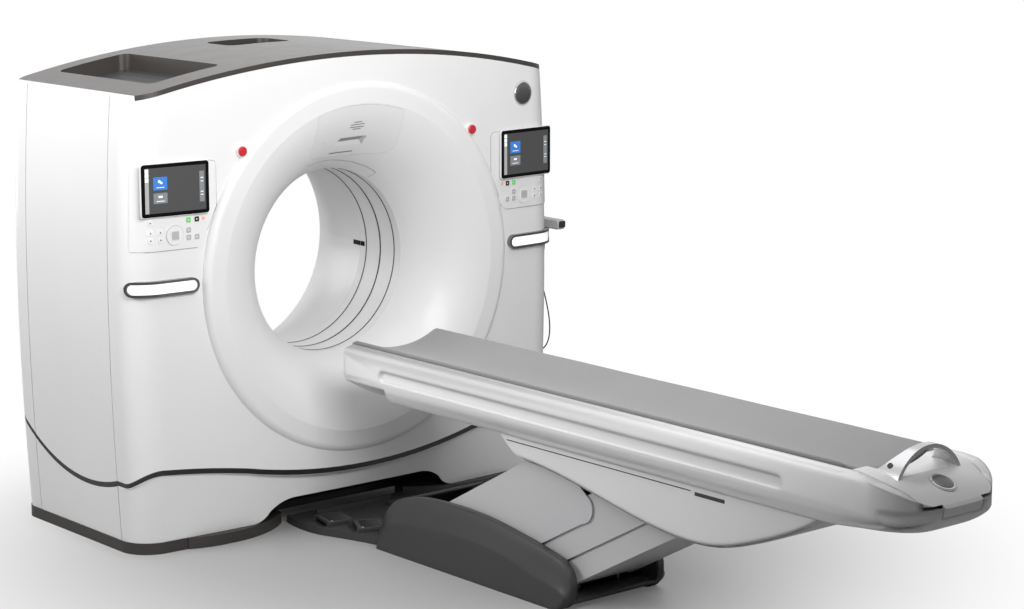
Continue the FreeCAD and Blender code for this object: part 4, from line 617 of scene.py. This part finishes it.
# ------------------------------------------------------------------ consoles
# kinds of key: name, finish of the cap, finish of its mark, half width, places as (column, row)
KEYS = (("key_green", key_green, key_white, KEY_HALF, ((2, 0),)),
        ("key_black", rubber_black, key_white, KEY_HALF, ((1, 0),)),
        ("key_orange", key_orange, key_white, SMALL_KEY_HALF, ((0, 0),)),
        ("key_grey", key_grey, key_white, KEY_HALF, ((2, 1), (2, 2), (1, 2))),
        ("key_white", key_white, print_and_shade_dark, KEY_HALF, ((4, 0), (4, 1), (4, 2), (3, 1), (3, 2))))


def console_keys(side, word):
    """Coloured caps and plain marks on the moulded keys."""
    arrow = [(0.004, 0.0), (-0.003, 0.004), (-0.003, -0.004)]
    for name, cap_finish, mark_finish, half, places in KEYS:
        caps = bmesh.new()
        marks = bmesh.new()
        for column, row in places:
            origin = (side * KEY_X[column], BEFORE_Y, KEY_Z[row])
            matrix = facing(*onto("console_panel_" + word, origin, ALONG_BORE))
            tile(caps, matrix, round_corners(half, half, 0.004), KEY_THICK, bevel=0.0004)
            tile(marks, raise_by(matrix, KEY_THICK), arrow, MARK_THICK)
        add_mesh(name + "_caps_" + word, caps, cap_finish)
        add_mesh(name + "_marks_" + word, marks, mark_finish)


def nav_key(word):
    """The grey key in the middle of the round pad, and a mark on each of its four sides."""
    node = "nav_pad_" + word
    x, _, z = middle(node)
    pad = bmesh.new()
    place, _ = onto(node, (x, BEFORE_Y, z), ALONG_BORE)
    tile(pad, facing(place, -ALONG_BORE), round_corners(NAV_KEY_HALF, NAV_KEY_HALF, 0.004), 0.0008,
         bevel=0.0003)
    add_mesh("nav_key_" + word, pad, key_grey, body=node)
    marks = bmesh.new()
    mark = [(NAV_MARK_SIZE * math.cos(a), NAV_MARK_SIZE * math.sin(a)) for a in NAV_MARK_TURNS]
    for u, v in circle(NAV_MARK_R, 4):
        turn = math.atan2(v, u)
        place, _ = onto(node, (x + u, BEFORE_Y, z + v), ALONG_BORE)
        tile(marks, facing(place, -ALONG_BORE) @ Matrix.Rotation(turn, 4, "Z"), mark, FILM)
    add_mesh("nav_marks_" + word, marks, key_white, body=node)


def consoles():
    for side, word in SIDES:
        console_keys(side, word)
        nav_key(word)


def console_seams():
    """The fine shadow line round each console panel, drawn on the cover just outside it."""
    for side, word in SIDES:
        seam = bmesh.new()
        front_strip(seam, "front_cover", [(side * x, z) for x, z in PANEL_EDGE], PANEL_SEAM)
        add_mesh("console_seam_" + word, seam, seam_grey)


# ------------------------------------------------------------------ marks on the gantry
def round_badge(name, node, body, at, ray, radius):
    """A plain round badge: a soft dish drawn as a grey disc of painted shade, a bright ring and a domed
    disc in it.
    """
    place, normal = onto(node, at, ray)
    matrix = facing(place, normal, up=(0, 1, 0) if ray == DOWN else (0, 0, 1))
    # painted shade of the dish round the badge
    dish = bmesh.new()
    tile(dish, matrix, circle(radius * BADGE_DISH, BADGE_SIDES), 0.0008)
    add_mesh(name + "_dish", dish, dish_shade_grey, body=body)
    rim = bmesh.new()
    tile(rim, matrix, circle(radius, BADGE_SIDES), 0.004, bevel=0.0015)
    add_mesh(name + "_rim", rim, badge_chrome, body=body)
    disc = bmesh.new()
    stack(disc, [[disc.verts.new(matrix @ Vector((u, v, height)))
                  for u, v in circle(radius * share, BADGE_SIDES)] for share, height in BADGE_DOME])
    add_mesh(name + "_disc", disc, badge_dark, body=body, smooth=True)


def module_details():
    """The panel over the bore: speaker lines, a recessed window with a sloping lip, and a slit, drawn as
    painted shade and painted highlight.
    """
    # painted shade: the speaker lines, the window and the slit drawn dark
    dark = bmesh.new()
    for x0, z0, x1, z1 in SPEAKER_LINES:
        front_strip(dark, "flare_module", ((x0, z0), (x1, z1)), SPEAKER_WIDTH)
    front_band(dark, WINDOW)
    front_band(dark, SLIT)
    add_mesh("module_slot_shade", dark, slot_shade_grey)
    # painted shade: the end of the window and a dot drawn grey
    shade = bmesh.new()
    front_band(shade, WINDOW_END)
    front_band(shade, PANEL_DOT, steps=2)
    add_mesh("module_shade", shade, key_grey)
    # painted highlight: the sloping lips drawn lighter than the panel
    lip = bmesh.new()
    front_band(lip, WINDOW_LIP, lift=LIP_FILM)
    front_band(lip, SLIT_LIP, lift=LIP_FILM)
    add_mesh("module_lip_highlight", lip, key_white)


def throat_seam():
    seam = bmesh.new()
    front_strip(seam, "front_cover", THROAT_SEAM, THROAT_SEAM_WIDTH)
    add_mesh("throat_seam", seam, key_grey)


def bore_slot_shade():
    """Dark strip on the right wall of the bore: painted shade inside a slot there."""
    dark = bmesh.new()
    for node, y0, y1 in SLOT_SHADE_Y:
        strip(dark, node, [(0.0, y0, SLOT_SHADE_Z), (0.0, y1, SLOT_SHADE_Z)], SLOT_SHADE_WIDTH,
              ray=Vector((1, 0, 0)))
    add_mesh("bore_slot_shade", dark, glass_and_shade_black)


# ------------------------------------------------------------------ the table's shell and belly
def plan_depth(x, y):
    """How far a place lies inside the nose's outline, seen from above."""
    x = abs(x)
    round_x = SHELL_HIGH.x - NOSE_R
    round_y = NOSE_Y + NOSE_R
    if y < round_y and x > round_x:
        return NOSE_R - math.hypot(x - round_x, y - round_y)
    return min(SHELL_HIGH.x - x, y - NOSE_Y)


def bow_lift(place):
    """How far a point of the shell rises to give the nose its bow."""
    t = clamp((place.y - BOW_Y[0]) / (BOW_Y[1] - BOW_Y[0]))
    along = t * t * (3 - 2 * t)
    inwards = 1 - quarter_round(plan_depth(place.x, place.y) / BOW_REACH)
    upwards = clamp((BOW_TOP_Z - place.z) / (BOW_TOP_Z - SHELL_LOW.z))
    return BOW_RISE * along * inwards * upwards


def soft_nose():
    """The table's shell again, its nose finely divided and drawn up into a soft bow underneath."""
    bm = bmesh.new()
    bm.from_mesh(frame["nodes"]["table_shell"].data)
    bmesh.ops.remove_doubles(bm, verts=bm.verts, dist=0.00001)
    bmesh.ops.triangulate(bm, faces=bm.faces)
    for _ in range(BOW_DIVISIONS):
        long = [e for e in bm.edges if e.calc_length() > BOW_GRID
                and min(v.co.y for v in e.verts) < BOW_Y[0]
                and min(v.co.z for v in e.verts) < BOW_TOP_Z]
        if not long:
            break
        bmesh.ops.subdivide_edges(bm, edges=long, cuts=1, use_grid_fill=False)
        bmesh.ops.triangulate(bm, faces=[f for f in bm.faces if len(f.verts) > 3])
    for vert in bm.verts:
        vert.co.z += bow_lift(vert.co)
    shell = add_mesh("table_shell_soft", bm, shell_white, body="table_top")
    for face in shell.data.polygons:
        face.use_smooth = face.center.y < BOW_Y[0]
    shell.data.set_sharp_from_angle(angle=BOW_SHARP)
    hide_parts("table_shell")


def belly_shade_lines():
    """Painted shade: a dark line in the crease along the belly's upper edge on both sides, and a dark
    strip in the short slot at its end.
    """
    lines = bmesh.new()
    for side, _ in SIDES:
        x = side * BESIDE_BELLY_X
        for (y0, y1), z, width in (BELLY_CREASE_SHADE, BELLY_SLOT_SHADE):
            strip(lines, "table_belly", [(x, y0, z), (x, y1, z)], width, ray=Vector((-side, 0, 0)))
    add_mesh("belly_shade_lines", lines, print_and_shade_dark, body="table_top")


# ------------------------------------------------------------------ the pad and its clip
def hollow_z(x):
    """Height of the pad's underside in the hollow of the cradle, at X from the middle."""
    radius = (CRADLE_HIGH.x ** 2 + CRADLE_DIP ** 2) / (2 * CRADLE_DIP)
    return CRADLE_HIGH.z - CRADLE_DIP + FILM + radius - math.sqrt(radius ** 2 - x ** 2)


def pad_top(x, y):
    """Height of the pad's upper face, with soft edges and a slight ripple."""
    to_side = PAD_HIGH.x - abs(x)
    to_end = min(PAD_HIGH.y - y, y - PAD_LOW.y)
    soft = quarter_round(to_side / PAD_EDGE) * quarter_round(to_end / PAD_END)
    ripple = PAD_RIPPLE * math.sin(y * 9.0) * math.cos(x * 14.0)
    return hollow_z(x) + PAD_THICK * (PAD_RIM_SHARE + (1 - PAD_RIM_SHARE) * soft) + ripple


def cradle_pad():
    """Thin mattress in the cradle's hollow: a crowned upper face with a rim down to the cradle."""
    bm = bmesh.new()
    grid = []
    for i in range(PAD_ROWS + 1):
        y = PAD_HIGH.y + (PAD_LOW.y - PAD_HIGH.y) * i / PAD_ROWS
        row = []
        for j in range(PAD_COLUMNS + 1):
            x = PAD_HIGH.x * math.sin((2 * j / PAD_COLUMNS - 1) * math.pi / 2)
            row.append(bm.verts.new((x, y, pad_top(x, y))))
        grid.append(row)
    for near, far in zip(grid, grid[1:]):
        for j in range(PAD_COLUMNS):
            bm.faces.new((near[j], near[j + 1], far[j + 1], far[j]))
    rim = grid[0] + [row[-1] for row in grid[1:]]
    rim += grid[-1][-2::-1] + [row[0] for row in grid[-2:0:-1]]
    foot = [bm.verts.new((v.co.x, v.co.y, hollow_z(v.co.x))) for v in rim]
    n = len(rim)
    for k in range(n):
        bm.faces.new((rim[k], foot[k], foot[(k + 1) % n], rim[(k + 1) % n]))
    bmesh.ops.recalc_face_normals(bm, faces=bm.faces)
    pad = add_mesh("mattress", bm, pad_vinyl, body="cradle", smooth=True)
    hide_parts("cradle_pad")


def pad_clip():
    """The dark bar across the foot end of the pad, with a stud near each end."""
    clip = bmesh.new()
    strip(clip, "cradle", [(-CLIP_X, CLIP_Y, ABOVE_Z), (CLIP_X, CLIP_Y, ABOVE_Z)], CLIP_WIDTH,
          ray=DOWN, lift=CLIP_FILM)
    add_mesh("pad_clip", clip, accent_dark, body="cradle")
    studs = bmesh.new()
    for x in (-CLIP_STUD_X, CLIP_STUD_X):
        place, normal = onto("cradle", (x, CLIP_Y, ABOVE_Z), DOWN)
        tile(studs, raise_by(facing(place, normal, up=(0, 1, 0)), CLIP_FILM), circle(CLIP_STUD_R), 0.001)
    add_mesh("pad_clip_studs", studs, key_white, body="cradle")


# ------------------------------------------------------------------ foot pedals
def pedal_marks():
    """Plain arrows and tread ribs on the pedals."""
    for k, turn in enumerate(PEDAL_TURNS, 1):
        for side, word in SIDES:
            node = "pedal_%d_%s" % (k, word)
            x, y, _ = middle(node)
            place, _ = onto(node, (x, y, ABOVE_Z), DOWN)
            base = Matrix.Translation(place) @ Matrix.Rotation(math.radians(side * turn), 4, "Z")
            ribs = bmesh.new()
            for i in range(-3, 4):
                tile(ribs, raise_by(base, -0.001), round_corners(*TREAD_HALF, 0.002, 3), 0.0025,
                     at=(0.0, TREAD_PITCH * i))
            add_mesh("tread_%d_%s" % (k, word), ribs, rubber_black, body=node)
            mark = bmesh.new()
            tile(mark, raise_by(base, 0.0004), [(0.0, 0.006), (-0.006, -0.004), (0.006, -0.004)],
                 FILM, at=(side * PEDAL_MARK_AT[0], PEDAL_MARK_AT[1]))
            add_mesh("pedal_mark_%d_%s" % (k, word), mark, key_white, body=node)


# ------------------------------------------------------------------ the hand reader and its cord
def reader_tip():
    """The dark window in the front of the hand reader's head."""
    low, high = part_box("hand_reader")
    origin = ((low.x + high.x) / 2, BEFORE_Y, high.z - READER_TIP_DROP)
    tip = bmesh.new()
    tile(tip, facing(*onto("hand_reader", origin, ALONG_BORE)), round_corners(0.019, 0.015, 0.006),
         0.004, bevel=0.0015)
    add_mesh("reader_tip", tip, rubber_black)


def reader_cord():
    curve = bpy.data.curves.new("cord", "CURVE")
    curve.dimensions = "3D"
    curve.bevel_depth = CORD_DIAMETER / 2
    curve.bevel_resolution = 4
    curve.resolution_u = 12
    spline = curve.splines.new("NURBS")
    spline.points.add(len(CORD_ROUTE) - 1)
    for point, place in zip(spline.points, CORD_ROUTE):
        point.co = (*place, 1.0)
    spline.order_u = 3
    spline.use_endpoint_u = True
    curve.materials.append(rubber_black)
    cord = bpy.data.objects.new("cord", curve)
    bpy.context.scene.collection.objects.link(cord)
    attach(cord, ROOT)
    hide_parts("reader_cord")


# ------------------------------------------------------------------ light, floor and camera
def mix_to(nodes, links, output, factor, first, second):
    """Show shader FIRST where FACTOR is 0, SECOND where it is 1."""
    mix = nodes.new("ShaderNodeMixShader")
    links.new(factor, mix.inputs["Fac"])
    links.new(first.outputs[0], mix.inputs[1])
    links.new(second.outputs[0], mix.inputs[2])
    links.new(mix.outputs[0], nodes[output].inputs["Surface"])


def world():
    """Faint light from all round; the camera, mirrors and clear pieces see plain white instead."""
    scene = bpy.context.scene
    scene.world = bpy.data.worlds.new("studio")
    scene.world.use_nodes = True
    nodes = scene.world.node_tree.nodes
    links = scene.world.node_tree.links
    light = nodes["Background"]
    light.inputs["Color"].default_value = (1, 1, 1, 1)
    light.inputs["Strength"].default_value = WORLD_LIGHT
    seen = nodes.new("ShaderNodeBackground")
    seen.inputs["Color"].default_value = (1, 1, 1, 1)
    seen.inputs["Strength"].default_value = 1.0
    rays = nodes.new("ShaderNodeLightPath")
    shown = rays.outputs["Is Camera Ray"]
    for kind in ("Is Glossy Ray", "Is Transmission Ray"):
        either = nodes.new("ShaderNodeMath")
        either.operation = "MAXIMUM"
        links.new(shown, either.inputs[0])
        links.new(rays.outputs[kind], either.inputs[1])
        shown = either.outputs[0]
    mix_to(nodes, links, "World Output", shown, light, seen)


def floor_paper():
    """Grey paper that takes the real shadows, and a painted pool of shade round the object, fading to
    plain white away from it.
    """
    material, nodes, links = new_material("floor_paper")
    shader = nodes["Principled BSDF"]
    shader.inputs["Base Color"].default_value = (FLOOR_GREY, FLOOR_GREY, FLOOR_GREY, 1)
    shader.inputs["Roughness"].default_value = FLOOR_ROUGH
    glow = nodes.new("ShaderNodeEmission")
    glow.inputs["Strength"].default_value = 1.0
    place = nodes.new("ShaderNodeTexCoord")
    reach = nodes.new("ShaderNodeVectorMath")
    reach.operation = "LENGTH"
    links.new(place.outputs["Object"], reach.inputs[0])
    # painted shade: the floor stays grey near the object and fades to white further out
    fade = nodes.new("ShaderNodeMapRange")
    fade.interpolation_type = "SMOOTHSTEP"
    fade.inputs["From Min"].default_value = FLOOR_FADE[0]
    fade.inputs["From Max"].default_value = FLOOR_FADE[1]
    links.new(reach.outputs["Value"], fade.inputs["Value"])
    rays = nodes.new("ShaderNodeLightPath")
    seen = nodes.new("ShaderNodeMath")
    seen.operation = "MULTIPLY"
    links.new(fade.outputs["Result"], seen.inputs[0])
    links.new(rays.outputs["Is Camera Ray"], seen.inputs[1])
    mix_to(nodes, links, "Material Output", seen.outputs[0], shader, glow)
    return material


def floor():
    bm = bmesh.new()
    bmesh.ops.create_grid(bm, x_segments=4, y_segments=4, size=60.0)
    mesh = bpy.data.meshes.new("studio_floor")
    bm.to_mesh(mesh)
    bm.free()
    mesh.materials.append(floor_paper())
    plane = bpy.data.objects.new("studio_floor", mesh)
    plane.location = (0, FLOOR_MIDDLE_Y, 0)
    bpy.context.scene.collection.objects.link(plane)


def aim(thing, at, direction):
    """Put a lamp or the camera into the scene at a place, looking along a direction."""
    thing.location = at
    thing.rotation_euler = direction.to_track_quat("-Z", "Y").to_euler()
    bpy.context.scene.collection.objects.link(thing)


def lights():
    for name, at, look_at, size, power in LAMPS:
        data = bpy.data.lights.new(name, "AREA")
        data.shape = "RECTANGLE"
        data.size, data.size_y = size
        data.energy = power
        aim(bpy.data.objects.new(name, data), at, Vector(look_at) - Vector(at))


def camera():
    data = bpy.data.cameras.new("camera")
    data.lens = CAMERA_LENS
    data.sensor_width = CAMERA_SENSOR
    data.sensor_fit = "HORIZONTAL"
    data.clip_end = 200.0
    eye = bpy.data.objects.new("camera", data)
    aim(eye, CAMERA_AT, Vector(CAMERA_LOOK))
    bpy.context.scene.camera = eye


def main():
    bpy.context.scene.view_settings.view_transform = "Standard"
    camera()
    reader_cord()
    world()
    floor()
    lights()
    dress_nodes()
    screens()
    consoles()
    console_seams()
    for badge in BADGES:
        round_badge(*badge)
    module_details()
    throat_seam()
    bore_slot_shade()
    soft_nose()
    belly_shade_lines()
    cradle_pad()
    pad_clip()
    pedal_marks()
    reader_tip()


main()
